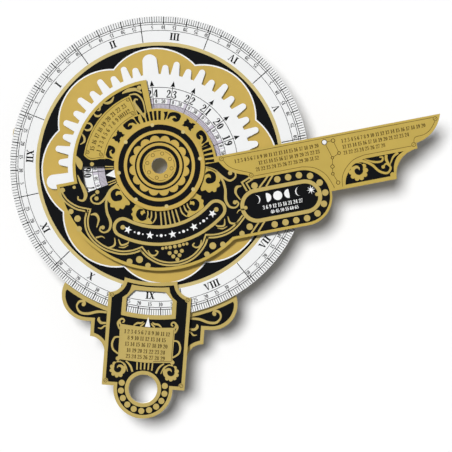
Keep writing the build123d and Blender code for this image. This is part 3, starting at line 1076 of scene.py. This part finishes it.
def scroll_field_ornament():
    gold_parts, hollows, tips = acanthus(4.9, 97.2, -21.3, 20, lobes=7, first=140, spread=250)
    gold_parts.append(stroke([(95.0, -16.9), (99.6, -16.6), (104.2, -19.2), (107.4, -23.2), (111.2, -24.9),
                              (113.4, -22.6), (111.6, -20.2), (109.8, -21.6)],
                             (0.5, 1.3, 1.3, 1.2, 1.1, 1.0, 0.9, 0.7)))
    gold_parts.append(stroke([(101.2, -16.0), (105.6, -18.2), (109.4, -18.6), (110.4, -16.8), (108.8, -16.4)],
                             (0.3, 1.1, 1.0, 0.9, 0.6)))
    gold_parts.append(stroke([(112.4, -15.9), (112.0, -18.2), (113.0, -21.2), (113.6, -23.6)],
                             (1.4, 1.5, 0.9, 0.2)))
    gold_parts.append(stroke([(118.4, -15.9), (115.6, -17.6), (113.2, -21.4)], (1.4, 1.0, 0.3)))
    gold_parts += [disc(0.9, 109.8, -21.5), disc(1.2, 113.7, -26.2)]
    return gold_parts, hollows, tips


def pointer_print():
    face = Face("pointer", "pointer", near("pointer_plate"))

    def show(what, ink, layer, shapes):
        face.print(what, ink, layer, placed(shapes, turn=pointer_turn))

    marks, mark_tips = hub_marks()
    leaves, hollows, tips, stripes = hub_leaves()
    plate, plate_marks = plate_in_the_quarter()
    long_gold, long_white = long_field()
    arm, white_star, stars = arm_lines()
    scroll_gold, scroll_hollows, scroll_tips = scroll_field_ornament()
    show("black_fields", "black", 1, pointer_fields())
    show("hub_marks", "black", 1, marks)
    beads = []
    for x, z, r in ((-47.8, -14.2, 1.3), (-45.2, -18.3, 1.62), (-45.4, -23.5, 1.4), (-23.7, -44.3, 1.5),
                    (-18.6, -44.2, 1.75), (-15.0, -47.9, 1.35), (15.0, -47.9, 1.35), (18.7, -44.3, 1.7),
                    (23.8, -44.6, 1.4)):
        beads.append(disc(r, x, z))
    for x, z in ((-3.2, -43.9), (0, -43.9), (3.0, -43.9), (-1.7, -45.8), (1.5, -45.8), (0, -47.7)):
        beads.append(disc(0.98, x, z))
    hooks = both_sides([stroke([(13.6, -40.4), (12.6, -43.0), (10.4, -43.6), (8.9, -42.2), (10.0, -41.2)],
                               (0.4, 0.9, 0.8, 0.7, 0.6))])
    drops = [disc(0.75, x, -40.9) for x in (-6.2, -4.4, 4.4, 6.2)]
    drops += [disc(0.9, x, -41.1) for x in (-2.4, 0, 2.4)]
    frame_line = [strip(banner(5.1), banner(3.5), True)]
    knobs = [disc(1.15, *on_banner(a)) for a in (banner_last, banner_first)]
    show("banner", "line_gold", 2, frame_line + knobs)
    show("border_lines", "line_gold", 2, scalloped_border() + hooks + drops)
    show("beads", "line_gold", 2, beads)
    show("scrolls", "line_gold", 2, body_scrolls(True) + body_scrolls(False) + quarter_ornament())
    show("leaves", "pointer_gold", 2, leaves + scroll_gold)
    show("flutes", "line_gold", 3, stripes)
    show("hollows", "black", 3, hollows + scroll_hollows)
    show("leaf_tips", "line_gold", 4, tips + scroll_tips)
    show("mark_tips", "pointer_gold", 2, mark_tips)
    show("long_field", "line_gold", 2, long_gold)
    show("moons", "white", 2, long_white)
    show("plate", "pointer_gold", 2, plate)
    show("plate_marks", "brown", 3, plate_marks)
    show("arm_marks", "brown", 1, arm)
    show("stars", "pointer_gold", 2, stars)
    pole = [fill([(-27.3, 0.35), (-22.4, -1.9), (-22.4, 2.4)])]
    show("white_marks", "white", 3, white_star + pole)
    show("banner_stars", "white", 3, banner_stars())


pointer_print()


# Front of the handle

def handle_print():
    face = Face("handle", "base", near("window_plate"))
    handle_border = 1.75
    rim = inset(outline("window_plate", face.y)[0], handle_border)
    frame_side = [(9.4, -60.3), (10.0, -62.9), (11.4, -65.3), (13.6, -66.9), (13.7, -75.8)]
    frame_low = arc(77.0, -79.7, -100.3)
    frame_top = arc(61.0, -98.9, -81.1)
    window_frame = frame_side + frame_low[1:-1]
    window_frame += [(-x, z) for x, z in reversed(frame_side)] + frame_top[1:-1]
    face.print("black_field", "black", 1, [fill(rim, window_frame, circle(hole_border_r, 0, ring_z))])
    top = [(13.8, -80.3), (6, -80.9), (0, -81.1), (-6, -80.9), (-13.8, -80.3)]
    low = [(-13.6, -97.9), (-6, -98.5), (0, -98.8), (6, -98.5), (13.6, -97.9)]
    gold_parts = [fill(smooth(top) + smooth(low)), *ring_beads(11, ring_z)]
    side_parts = [
        curl(12.7, -78.9, 1.75, 0.5, -60, 330, 1.1, 0.6),
        stroke([(14.1, -78.2), (15.0, -80.0), (14.2, -82.4), (13.5, -83.2)], (0.7, 1.0, 0.8, 0.3)),
        stroke([(7.0, -80.7), (5.4, -79.4), (3.4, -79.2), (2.2, -78.4)], (0.5, 1.0, 0.9, 0.3)),
        stroke([(3.6, -80.9), (2.4, -79.8), (1.6, -78.9)], (0.7, 0.8, 0.2)),
        stroke([(13.6, -86.9), (15.9, -87.3), (17.1, -90.2), (16.4, -93.2), (13.7, -95.3)],
               (0.7, 0.95, 1.0, 0.95, 0.8)),
        disc(1.05, 13.7, -97.7),
        stroke([(9.6, -98.6), (7.2, -100.8), (5.9, -103.8)], (0.6, 1.0, 0.9)),
        stroke([(12.6, -99.0), (9.8, -100.6), (8.3, -103.9)], (0.8, 0.7, 0.3)),
        line([(1.95, -98.9), (1.85, -102.4)], 0.72),
        line([(3.9, -98.8), (3.7, -102.6)], 0.66),
        disc(1.3, 19.0, -66.0),
        disc(1.3, 19.0, -109.1),
    ]
    gold_parts += both_sides(side_parts) + [line([(0, -98.9), (0, -102.2)], 0.72)]
    leaves, hollows, tips = acanthus(4.3, 13.2, -103.0, 35, lobes=7, first=190, spread=240, paired=True)
    face.print("gold_parts", "line_gold", 2, gold_parts)
    face.print("leaves", "line_gold", 2, leaves)
    face.print("hollows", "black", 3, hollows)
    face.print("leaf_tips", "line_gold", 4, tips)
    marks = []
    for half_w, z, first in ((11.6, -83.8, 1), (10.2, -86.9, 8), (11.6, -90.0, 13), (11.0, -93.1, 18),
                             (10.2, -96.1, 23)):
        marks += number_row(-half_w, half_w, z, 2.0, first)
    for x, z in ((19.0, -66.0), (19.0, -109.1)):
        marks += screw(x, z, 1.0) + screw(-x, z, 1.0)
    marks.append(line([(13.2, -81.4), (13.1, -97.2), (4, -97.9)], 0.22))
    face.print("marks", "brown", 3, marks)
    face.print("index", "white", 3, [fill([(0, -75.9), (-1.35, -80.9), (1.35, -80.9)])])


handle_print()


# The base boards: wings on both faces, and behind them the degree circle and the handle

base_border = 1.8
dial_border_r = 77.4


def field_beyond(node, y):
    """The black ground below the dial, in the front view: the board's outline drawn in, less the dial."""
    loop = inset(outline(node, y)[0], base_border)
    kept = [p for p in loop if hypot(*p) > dial_border_r]
    jumps = [hypot(p[0] - q[0], p[1] - q[1]) for p, q in zip(kept, kept[-1:] + kept[:-1])]
    start = next(i for i, jump in enumerate(jumps) if jump > dial_r)
    kept = kept[start:] + kept[:start]
    first, last = (degrees(atan2(p[1], p[0])) for p in (kept[0], kept[-1]))
    return kept + arc(dial_border_r, last, first)


def wing_scrolls():
    return [
        stroke([(21, -75.2), (25.6, -75.2), (30.2, -76.5), (34.2, -76.2), (36.2, -73.4), (35.2, -70.9),
                (32.9, -70.6), (32.2, -72.2)], (1.0, 1.3, 1.3, 1.2, 0.8, 1.1, 1.3, 1.0)),
        disc(0.95, 32.9, -72.1),
        stroke([(24.5, -77.9), (24.8, -79.2), (23.4, -80.6), (20.9, -80.5)], (0.6, 1.5, 1.3, 0.9)),
        stroke([(24.9, -83.2), (23.2, -83.4), (21.8, -82.2), (20.6, -81.9)], (0.3, 0.8, 0.8, 0.8)),
    ]


def wings_print():
    face = Face("wings", "base", near("front_board"))
    ground = field_beyond("front_board", face.y)
    face.print("black_fields", "black", 1, [fill(ground, circle(hole_border_r, 0, ring_z))])
    face.print("scrolls", "line_gold", 2, both_sides(wing_scrolls()))


wings_print()


# Back of the base, drawn with the handle up

degree_in = 63.2
degree_ring = 72.4
degree_figures_r = 66.5
five_figures_r = 69.7
lobes_crest = 60.3
lobes_cusp = 53.0
gold_ring_in = 61.8
band_depth = 9.8
dot_pitch = 5.55


def degree_scale():
    """The circle of degrees, counted from the horizontal up and down to 90."""
    marks = [ring(degree_ring + 0.35, degree_ring - 0.35)]
    for degree in range(360):
        marks.append(tick(degree_ring, tick_out, degree, 0.55 if degree % 10 == 0 else 0.4))
        from_level = min(degree % 180, 180 - degree % 180)
        if degree % 10 == 0:
            marks.append(tick(degree_ring - 3.9, degree_ring, degree, 0.4))
            marks += round_the_dial(str(from_level), 3.1, degree_figures_r, degree, width=1.1)
        elif degree % 5 == 0:
            marks.append(tick(degree_ring - 1.2, degree_ring, degree, 0.36))
            marks += round_the_dial("5", 1.9, five_figures_r, degree)
    return marks


def dotted_band():
    """White dots at even steps along the lobed band."""
    path = inset(lobed(lobes_crest, lobes_cusp, scallops, 90), 4.7)
    runs = [hypot(b[0] - a[0], b[1] - a[1]) for a, b in zip(path, path[1:] + path[:1])]
    count = round(sum(runs) / dot_pitch)
    pitch = sum(runs) / count
    dots = []
    walked = 0.0
    for a, b, run in zip(path, path[1:] + path[:1], runs):
        while len(dots) * pitch < walked + run and len(dots) < count:
            t = (len(dots) * pitch - walked) / run
            dots.append(disc(1.2, a[0] + (b[0] - a[0]) * t, a[1] + (b[1] - a[1]) * t))
        walked += run
    return dots


def arabesque():
    """The white scrolls of the inner field, right half."""
    return [
        stroke([(16.2, 19.4), (17.8, 22.8), (15.2, 26.4), (10.6, 26.2), (7.4, 22.6), (5.4, 19.6)],
               (0.8, 3.4, 3.0, 1.5, 0.8, 0.3)),
        disc(1.1, 11.6, 21.0),
        stroke([(19.0, 9.8), (19.6, 14.6), (23.0, 16.0), (26.6, 13.4), (26.9, 8.6)],
               (0.6, 2.2, 2.8, 2.6, 0.8)),
        stroke([(15.6, -18.6), (16.6, -22.6), (13.4, -26.2), (9.0, -26.0), (6.0, -23.4)],
               (1.0, 3.2, 2.6, 1.2, 0.4)),
        stroke([(26.0, -9.0), (26.8, -13.8), (23.6, -16.4), (19.8, -15.0)], (0.5, 2.2, 2.6, 1.0)),
        stroke([(11.6, 40.6), (7.6, 41.0), (3.2, 38.6), (1.7, 34.0)], (0.3, 1.8, 1.3, 0.4)),
        stroke([(24.8, 29.6), (20.4, 30.4), (15.6, 29.4), (13.6, 30.6)], (0.3, 1.0, 1.0, 0.4)),
        stroke([(31.0, 26.0), (29.6, 21.0), (30.0, 15.2)], (0.4, 1.2, 0.4)),
        stroke([(7.4, 34.0), (5.0, 30.4), (3.6, 25.6)], (1.3, 0.9, 0.3)),
        stroke([(2.4, 31.0), (1.7, 26.0), (2.2, 21.8)], (0.3, 1.0, 0.3)),
        stroke([(12.6, 34.4), (9.4, 37.2), (5.6, 34.2), (5.2, 29.0)], (0.4, 0.8, 0.7, 0.3)),
        curl(34.0, 24.2, 2.6, 0.6, -120, 420, 0.8, 0.5),
        stroke([(33.4, 21.4), (36.4, 18.0), (35.8, 12.6)], (0.4, 0.9, 0.3)),
        stroke([(38.6, -20.0), (36.0, -26.0), (30.6, -29.0), (27.0, -27.4)], (0.3, 1.0, 0.9, 0.3)),
        curl(28.4, 35.2, 2.4, 0.5, 200, 400, 0.7, 0.4),
        stroke([(26.0, 34.4), (21.0, 36.8), (16.4, 35.0)], (0.4, 0.9, 0.3)),
        curl(23.6, -36.6, 2.2, 0.5, 140, -400, 0.7, 0.4),
        stroke([(21.6, -37.6), (17.0, -38.6), (12.4, -41.0), (9.0, -40.2)], (0.4, 0.9, 0.8, 0.3)),
    ]


def leafwork():
    """The duller gold under the white scrolls, right half: stems and leaves that they lie on."""
    return [
        stroke([(1.6, 20.6), (2.4, 30.0), (5.6, 38.6), (9.6, 44.0)], (3.0, 4.4, 4.0, 0.6)),
        stroke([(5.6, 20.6), (10.6, 30.0), (17.6, 32.8), (25.6, 31.0), (29.4, 24.4)],
               (2.6, 5.0, 4.6, 3.6, 0.8)),
        stroke([(24.6, 5.6), (30.4, 13.6), (36.4, 18.8), (36.6, 27.6), (31.6, 31.0)],
               (5.0, 5.6, 4.0, 4.4, 1.0)),
        disc(5.2, 12.4, 22.4),
        disc(5.4, 23.2, 12.2),
        stroke([(20.6, -12.0), (28.6, -14.6), (37.6, -20.4), (36.4, -29.6), (29.6, -33.4)],
               (4.0, 6.0, 4.0, 3.6, 0.6)),
        stroke([(6.0, -22.0), (12.0, -28.6), (20.4, -24.4), (27.6, -16.4)], (4.0, 4.6, 4.0, 1.0)),
        stroke([(29.6, -34.6), (21.6, -38.4), (12.6, -43.6), (4.6, -43.0)], (0.8, 3.6, 3.0, 0.6)),
    ]


def back_handle():
    """Gold lines and beads on the black handle, right half."""
    return [
        stroke([(0.0, 82.9), (5.0, 83.0), (10.4, 82.4), (13.4, 84.0)], (0.8, 0.8, 0.9, 0.8), per=3),
        line([(13.2, 83.6), (13.0, 98.2)], 0.85),
        line([(0.0, 98.9), (6.6, 98.8), (13.4, 98.2)], 0.9),
        stroke([(14.0, 86.6), (16.2, 88.2), (17.0, 91.6), (15.6, 94.6), (13.6, 96.4)],
               (0.5, 0.9, 1.0, 0.9, 0.5)),
        curl(12.2, 80.6, 1.5, 0.4, 60, -330, 0.9, 0.5),
        stroke([(0.6, 82.2), (1.4, 80.4), (3.6, 79.6), (6.4, 80.4), (7.6, 81.9)], (0.4, 1.0, 0.9, 0.8, 0.3)),
        stroke([(2.2, 82.1), (3.6, 80.9), (5.0, 81.0)], (0.3, 0.7, 0.2)),
        line([(1.9, 100.0), (2.0, 104.0)], 0.8),
        line([(3.9, 99.9), (4.4, 103.6)], 0.75),
        line([(5.9, 99.8), (6.9, 103.0)], 0.7),
        stroke([(8.0, 99.8), (9.6, 101.6), (10.0, 104.6)], (0.5, 0.9, 0.5)),
        disc(1.25, 17.4, 108.9),
        *ring_beads(6, -ring_z),
    ]


def sash_vine(r, first, last):
    """A vine along the sash: a wavy stem with its leaves, and a disc at each end."""
    waves = 9
    margin = 7
    span = last - first - 2 * margin
    shapes = [disc(0.85, *polar(r, a)) for a in (first, last)]
    steps = [i / 90 for i in range(91)]
    stem = [polar(r + 1.1 * sin(2 * pi * waves / 2 * t), first + margin + span * t) for t in steps]
    shapes.append(line(stem, 0.5))
    leaf = [
        stroke([(-2.6, 0.2), (-1.2, -0.9), (0.4, -1.6), (1.7, -1.3)], (0.3, 1.3, 1.4, 0.2)),
        disc(0.5, 2.1, 0.7),
    ]
    for i in range(waves):
        angle = first + margin + span * (i + 0.5) / waves
        shapes += placed(leaf if i % 2 else upside_down(leaf), *polar(r, angle), angle + 90)
    return shapes


def back_print():
    face = Face("back", "base", far("back_board"), behind=True)

    def show(what, ink, layer, shapes):
        face.print(what, ink, layer, placed(shapes, turn=180))

    edge = lobed(lobes_crest, lobes_cusp, scallops, 90)
    show("degree_field", "white", 1, [ring(dial_r - 0.05, degree_in)])
    show("degrees", "black", 2, degree_scale())
    show("gold_ring", "pale_gold", 1, [ring(degree_in, gold_ring_in)])
    show("black_band", "black", 1, [strip(out_to(edge, gold_ring_in), edge, True)])
    show("dull_field", "dull_gold", 1, [strip(edge, out_to(edge, field_in), True)])
    show("inner_field", "ochre_gold", 2, [fill(inset(edge, band_depth), circle(field_in))])
    show("leafwork", "dull_gold", 3, both_sides(leafwork()))
    lines = [line(edge, 0.75, True)]
    for depth, width in ((1.6, 0.5), (8.4, 0.45), (band_depth, 0.55)):
        lines.append(line(inset(edge, depth), width, True))
    show("white_lines", "white", 4, lines)
    show("dots", "white", 4, dotted_band())
    cluster = [disc(0.85, x, -44.6) for x in (-2.6, 0, 2.6)]
    cluster += [disc(0.85, x, -46.8) for x in (-1.4, 1.4)]
    crown = [stroke([(0, 40.6), (0, 43.8), (0, 46.6)], (0.4, 1.4, 0.3))]
    fans = [line([(x, -23.0), (x * 1.35, -28.6)], 0.55) for x in (-3.6, -1.8, 0, 1.8, 3.6)]
    show("scrolls", "white", 4, both_sides(arabesque()) + cluster + crown + fans)
    half = 3.9
    r = 34.1
    end = 17.5
    sash = arc(r + half, 180 + end, 360 - end) + arc(half, -end, 180 - end, *polar(r, -end))[1:-1]
    sash += arc(r - half, 360 - end, 180 + end) + arc(half, end, 180 + end, *polar(r, 180 + end))[1:-1]
    show("sash", "black", 5, [fill(sash)])
    show("sash_vine", "white", 6, sash_vine(r, 180 + end, 360 - end))

    ground = [(-x, -z) for x, z in field_beyond("back_board", face.y)]
    show("black_field", "black", 1, [fill(ground, circle(hole_border_r, 0, -ring_z))])
    show("gold_parts", "line_gold", 2, both_sides(back_handle()) + both_sides(upside_down(wing_scrolls())))
    leaves, hollows, tips = acanthus(3.4, 13.6, 103.4, -35, lobes=7, first=190, spread=240, paired=True)
    show("leaves", "line_gold", 2, leaves)
    show("hollows", "black", 3, hollows)
    show("leaf_tips", "line_gold", 4, tips)
    rows = []
    for half_w, z, first in ((9.6, 95.4, 1), (10.6, 92.2, 7), (9.4, 89.0, 12), (8.4, 85.9, 17)):
        rows += number_row(-half_w, half_w, z, 1.7, first)
    show("numbers", "dull_gold", 2, rows)


back_print()
rosette_print(Face("back_rosette", "base", far("back_rosette"), behind=True), 22.5, 1.3, "gold")


# Alidade: its bar and the faces of its sighting vanes

def alidade_arm_print():
    """One arm, drawn along x below the sighting line: its black grounds, gold parts, hollows and tips."""
    panel = arc(23.3, -3.4, -40.2)[::-1]
    panel += [(42.4, -1.4), (44.0, -3.9), (47.2, -4.6), (48.5, -6.8), (48.7, -11.0), (49.4, -14.6),
              (47.8, -15.0)]
    box = [(44.4, -1.4), (66.6, -1.4), (66.2, -2.9), (64.2, -3.4), (62.9, -5.6), (62.9, -8.6),
           (63.0, -12.8), (61.4, -15.6), (57.4, -16.2), (53.4, -15.6), (51.6, -12.8), (51.6, -7.4),
           (49.9, -6.4), (48.9, -3.6), (45.4, -2.9)]
    hook = stroke([(64.5, -8.4), (67.4, -6.8), (69.7, -4.0), (71.0, -1.7)], (0.9, 2.4, 2.6, 1.2))
    grounds = [fill(loop) for loop in (panel, box)] + [hook]
    gold_parts = [
        stroke([(33.2, -14.4), (36.0, -11.0), (38.6, -7.2), (42.4, -5.8), (44.6, -8.4), (43.0, -10.4),
                (41.6, -9.2)], (0.3, 1.1, 1.2, 1.1, 1.0, 0.8, 0.6)),
        stroke([(35.0, -2.2), (36.6, -4.4), (36.0, -7.6), (34.0, -9.4)], (0.4, 1.1, 1.0, 0.3)),
        stroke([(38.6, -2.2), (39.6, -4.2), (42.0, -4.2)], (0.3, 0.9, 0.3)),
        stroke([(47.4, -6.4), (46.6, -9.0), (47.6, -12.4)], (0.3, 1.1, 0.4)),
        stroke([(39.6, -14.3), (40.4, -12.4), (43.0, -12.6), (45.4, -14.2)], (0.4, 1.0, 0.9, 0.3)),
    ]
    leaf, hollow, tip = acanthus(5.7, 28.6, -8.4, 12, lobes=6, first=170, spread=230)
    return grounds, gold_parts + leaf, hollow, tip


def alidade_print():
    face = Face("alidade", "alidade", far("alidade_bar"), behind=True)
    names = ("black_grounds", "gold_parts", "hollows", "leaf_tips")
    colours = ("black", "line_gold", "black", "line_gold")
    for layer, (what, ink, shapes) in enumerate(zip(names, colours, alidade_arm_print()), 1):
        both_arms = placed(shapes, turn=alidade_turn) + placed(shapes, turn=alidade_turn + 180)
        face.print(what, ink, layer, both_arms)


alidade_print()


def framed(half_w, low, high, edge):
    """A rectangle's outline, drawn in by an edge."""
    x = half_w - edge
    return [(-x, low + edge), (x, low + edge), (x, high - edge), (-x, high - edge)]


def vane_print(face):
    half_w = vane_w / 2
    rims = [framed(half_w, 0, vane_h, edge) for edge in (0.1, 1.3, 2.0, 2.3)]
    face.print("border", "line_gold", 1, [strip(rims[0], rims[1], True)])
    face.print("field", "black", 1, [fill(rims[1], circle(1.1, 0, pinhole_h))])
    corner = [
        stroke([(-10.9, 2.9), (-7.6, 3.0), (-5.4, 4.6), (-6.2, 6.6), (-7.6, 5.8)], (0.5, 1.1, 1.1, 0.8, 0.6)),
        stroke([(-10.6, 3.6), (-10.7, 6.4), (-9.2, 8.2), (-7.6, 7.8)], (0.4, 0.9, 0.8, 0.3)),
    ]
    corners = both_sides(corner)
    corners += upside_down(corners, vane_h)
    gold_parts = [ring(2.9, 2.0, 0, pinhole_h), ring(1.5, 1.1, 0, pinhole_h), strip(rims[2], rims[3], True)]
    face.print("gold_parts", "line_gold", 2, gold_parts + corners)


for side, turn in (("right", alidade_turn), ("left", alidade_turn + 180)):
    vane_print(VaneFace(f"{side}_vane_outer_face", turn, 1))
    vane_print(VaneFace(f"{side}_vane_inner_face", turn, -1))


# Stage, light and camera

photo_px = 452
mm_per_px = 0.501
dial_px = (159.6, 165.85)
lean = 4.26
camera_distance = 1.2
sensor = 36.0


def look():
    """The camera square to the front, with the dial and its lean where the photograph has them."""
    across = (photo_px / 2 - dial_px[0]) * mm_per_px
    down = (dial_px[1] - photo_px / 2) * mm_per_px
    c, s = cos(radians(lean)), sin(radians(lean))
    x = across * c - down * s
    z = across * s + down * c
    camera = bpy.data.cameras.new("camera")
    camera.sensor_width = sensor
    camera.lens = sensor * camera_distance / (photo_px * mm_per_px * MM)
    camera.clip_start = 0.05
    camera.clip_end = 20
    holder = bpy.data.objects.new("camera", camera)
    bpy.context.scene.collection.objects.link(holder)
    right = Vector((c, 0, s))
    up = Vector((-s, 0, c))
    back = Vector((0, -1, 0))
    spot = Vector((x * MM, near("date_board") - camera_distance, z * MM))
    holder.matrix_world = Matrix.Translation(spot) @ Matrix((right, up, back)).transposed().to_4x4()
    bpy.context.scene.camera = holder


def sheet_of(name, corners, material):
    mesh = bpy.data.meshes.new(name)
    mesh.from_pydata(corners, [], [(0, 1, 2, 3)])
    mesh.materials.append(material)
    piece = bpy.data.objects.new(name, mesh)
    bpy.context.scene.collection.objects.link(piece)
    return piece


def looked_at(nodes, links, *others):
    """1 for camera rays and for the other kinds of ray that are named, 0 for all the rest."""
    rays = nodes.new("ShaderNodeLightPath")
    value = rays.outputs["Is Camera Ray"]
    for kind in others:
        either = nodes.new("ShaderNodeMath")
        either.operation = "MAXIMUM"
        links.new(value, either.inputs[0])
        links.new(rays.outputs[kind], either.inputs[1])
        value = either.outputs[0]
    return value


def stage_material(name, lift, one_sided):
    """A pale diffuse sheet, lifted a little for what looks at it. A one-sided one has no back."""
    material = bpy.data.materials.new(name)
    material.use_nodes = True
    nodes = material.node_tree.nodes
    links = material.node_tree.links
    nodes.clear()
    out = nodes.new("ShaderNodeOutputMaterial")
    diffuse = nodes.new("ShaderNodeBsdfDiffuse")
    diffuse.inputs["Color"].default_value = (0.93, 0.93, 0.93, 1)
    glow = nodes.new("ShaderNodeEmission")
    glow.inputs["Color"].default_value = (1, 1, 1, 1)
    power = nodes.new("ShaderNodeMath")
    power.operation = "MULTIPLY"
    power.inputs[1].default_value = lift
    links.new(looked_at(nodes, links, "Is Glossy Ray"), power.inputs[0])
    links.new(power.outputs[0], glow.inputs["Strength"])
    both = nodes.new("ShaderNodeAddShader")
    links.new(diffuse.outputs[0], both.inputs[0])
    links.new(glow.outputs[0], both.inputs[1])
    if one_sided:
        clear = nodes.new("ShaderNodeBsdfTransparent")
        side = nodes.new("ShaderNodeNewGeometry")
        choice = nodes.new("ShaderNodeMixShader")
        links.new(side.outputs["Backfacing"], choice.inputs[0])
        links.new(both.outputs[0], choice.inputs[1])
        links.new(clear.outputs[0], choice.inputs[2])
        links.new(choice.outputs[0], out.inputs["Surface"])
    else:
        links.new(both.outputs[0], out.inputs["Surface"])
    return material


floor_z = -0.16
wall_y = 0.0235
wall_half = 0.6
wall_top = 0.5
fill_light = 0.16


def build_stage():
    floor = sheet_of("floor", [(-3, -3, floor_z), (3, -3, floor_z), (3, 3, floor_z), (-3, 3, floor_z)],
                     stage_material("floor_white", 0.12, False))
    wall = sheet_of("backdrop", [(-wall_half, wall_y, floor_z), (wall_half, wall_y, floor_z),
                                 (wall_half, wall_y, wall_top), (-wall_half, wall_y, wall_top)],
                    stage_material("backdrop_white", 0.02, True))
    wall.visible_diffuse = False
    wall.visible_glossy = False
    wall.visible_transmission = False
    wall.visible_shadow = False
    return floor, wall


def sun(name, towards, strength, angle, lit):
    """A soft distant lamp for some of the pieces. What it lights doesn't light the rest in turn."""
    lamp = bpy.data.lights.new(name, "SUN")
    lamp.energy = strength
    lamp.angle = radians(angle)
    lamp.use_nodes = True
    nodes = lamp.node_tree.nodes
    rays = nodes.new("ShaderNodeLightPath")
    first = nodes.new("ShaderNodeMath")
    first.operation = "LESS_THAN"
    first.inputs[1].default_value = 0.5
    lamp.node_tree.links.new(rays.outputs["Diffuse Depth"], first.inputs[0])
    lamp.node_tree.links.new(first.outputs[0], nodes["Emission"].inputs["Strength"])
    holder = bpy.data.objects.new(name, lamp)
    bpy.context.scene.collection.objects.link(holder)
    holder.rotation_mode = "QUATERNION"
    holder.rotation_quaternion = Vector(towards).to_track_quat("-Z", "Y")
    receivers = bpy.data.collections.new(f"lit_by_{name}")
    for piece in lit:
        receivers.objects.link(piece)
    holder.light_linking.receiver_collection = receivers


def light(floor, wall):
    instrument = [piece for piece in bpy.data.objects if piece.type == "MESH" and piece not in (floor, wall)]
    sun("key", (0.55, 1.0, -0.6), 3.2, 12, instrument)
    sun("back_key", (0.4, -1.0, -0.55), 3.0, 12, instrument)
    sun("wall_key", (0.205, 1.0, -0.205), 3.0, 20.5, [wall])
    sun("floor_key", (0.35, 0.6, -1.0), 3.0, 20, [floor])
    world = bpy.data.worlds.new("studio")
    bpy.context.scene.world = world
    world.use_nodes = True
    nodes = world.node_tree.nodes
    links = world.node_tree.links
    background = nodes["Background"]
    background.inputs["Color"].default_value = (1, 1, 1, 1)
    power = nodes.new("ShaderNodeMapRange")
    power.inputs["To Min"].default_value = fill_light
    power.inputs["To Max"].default_value = 1.0
    links.new(looked_at(nodes, links, "Is Glossy Ray", "Is Transmission Ray"), power.inputs["Value"])
    links.new(power.outputs["Result"], background.inputs["Strength"])


floor, wall = build_stage()
light(floor, wall)
look()
scene = bpy.context.scene
scene.view_settings.view_transform = "Standard"
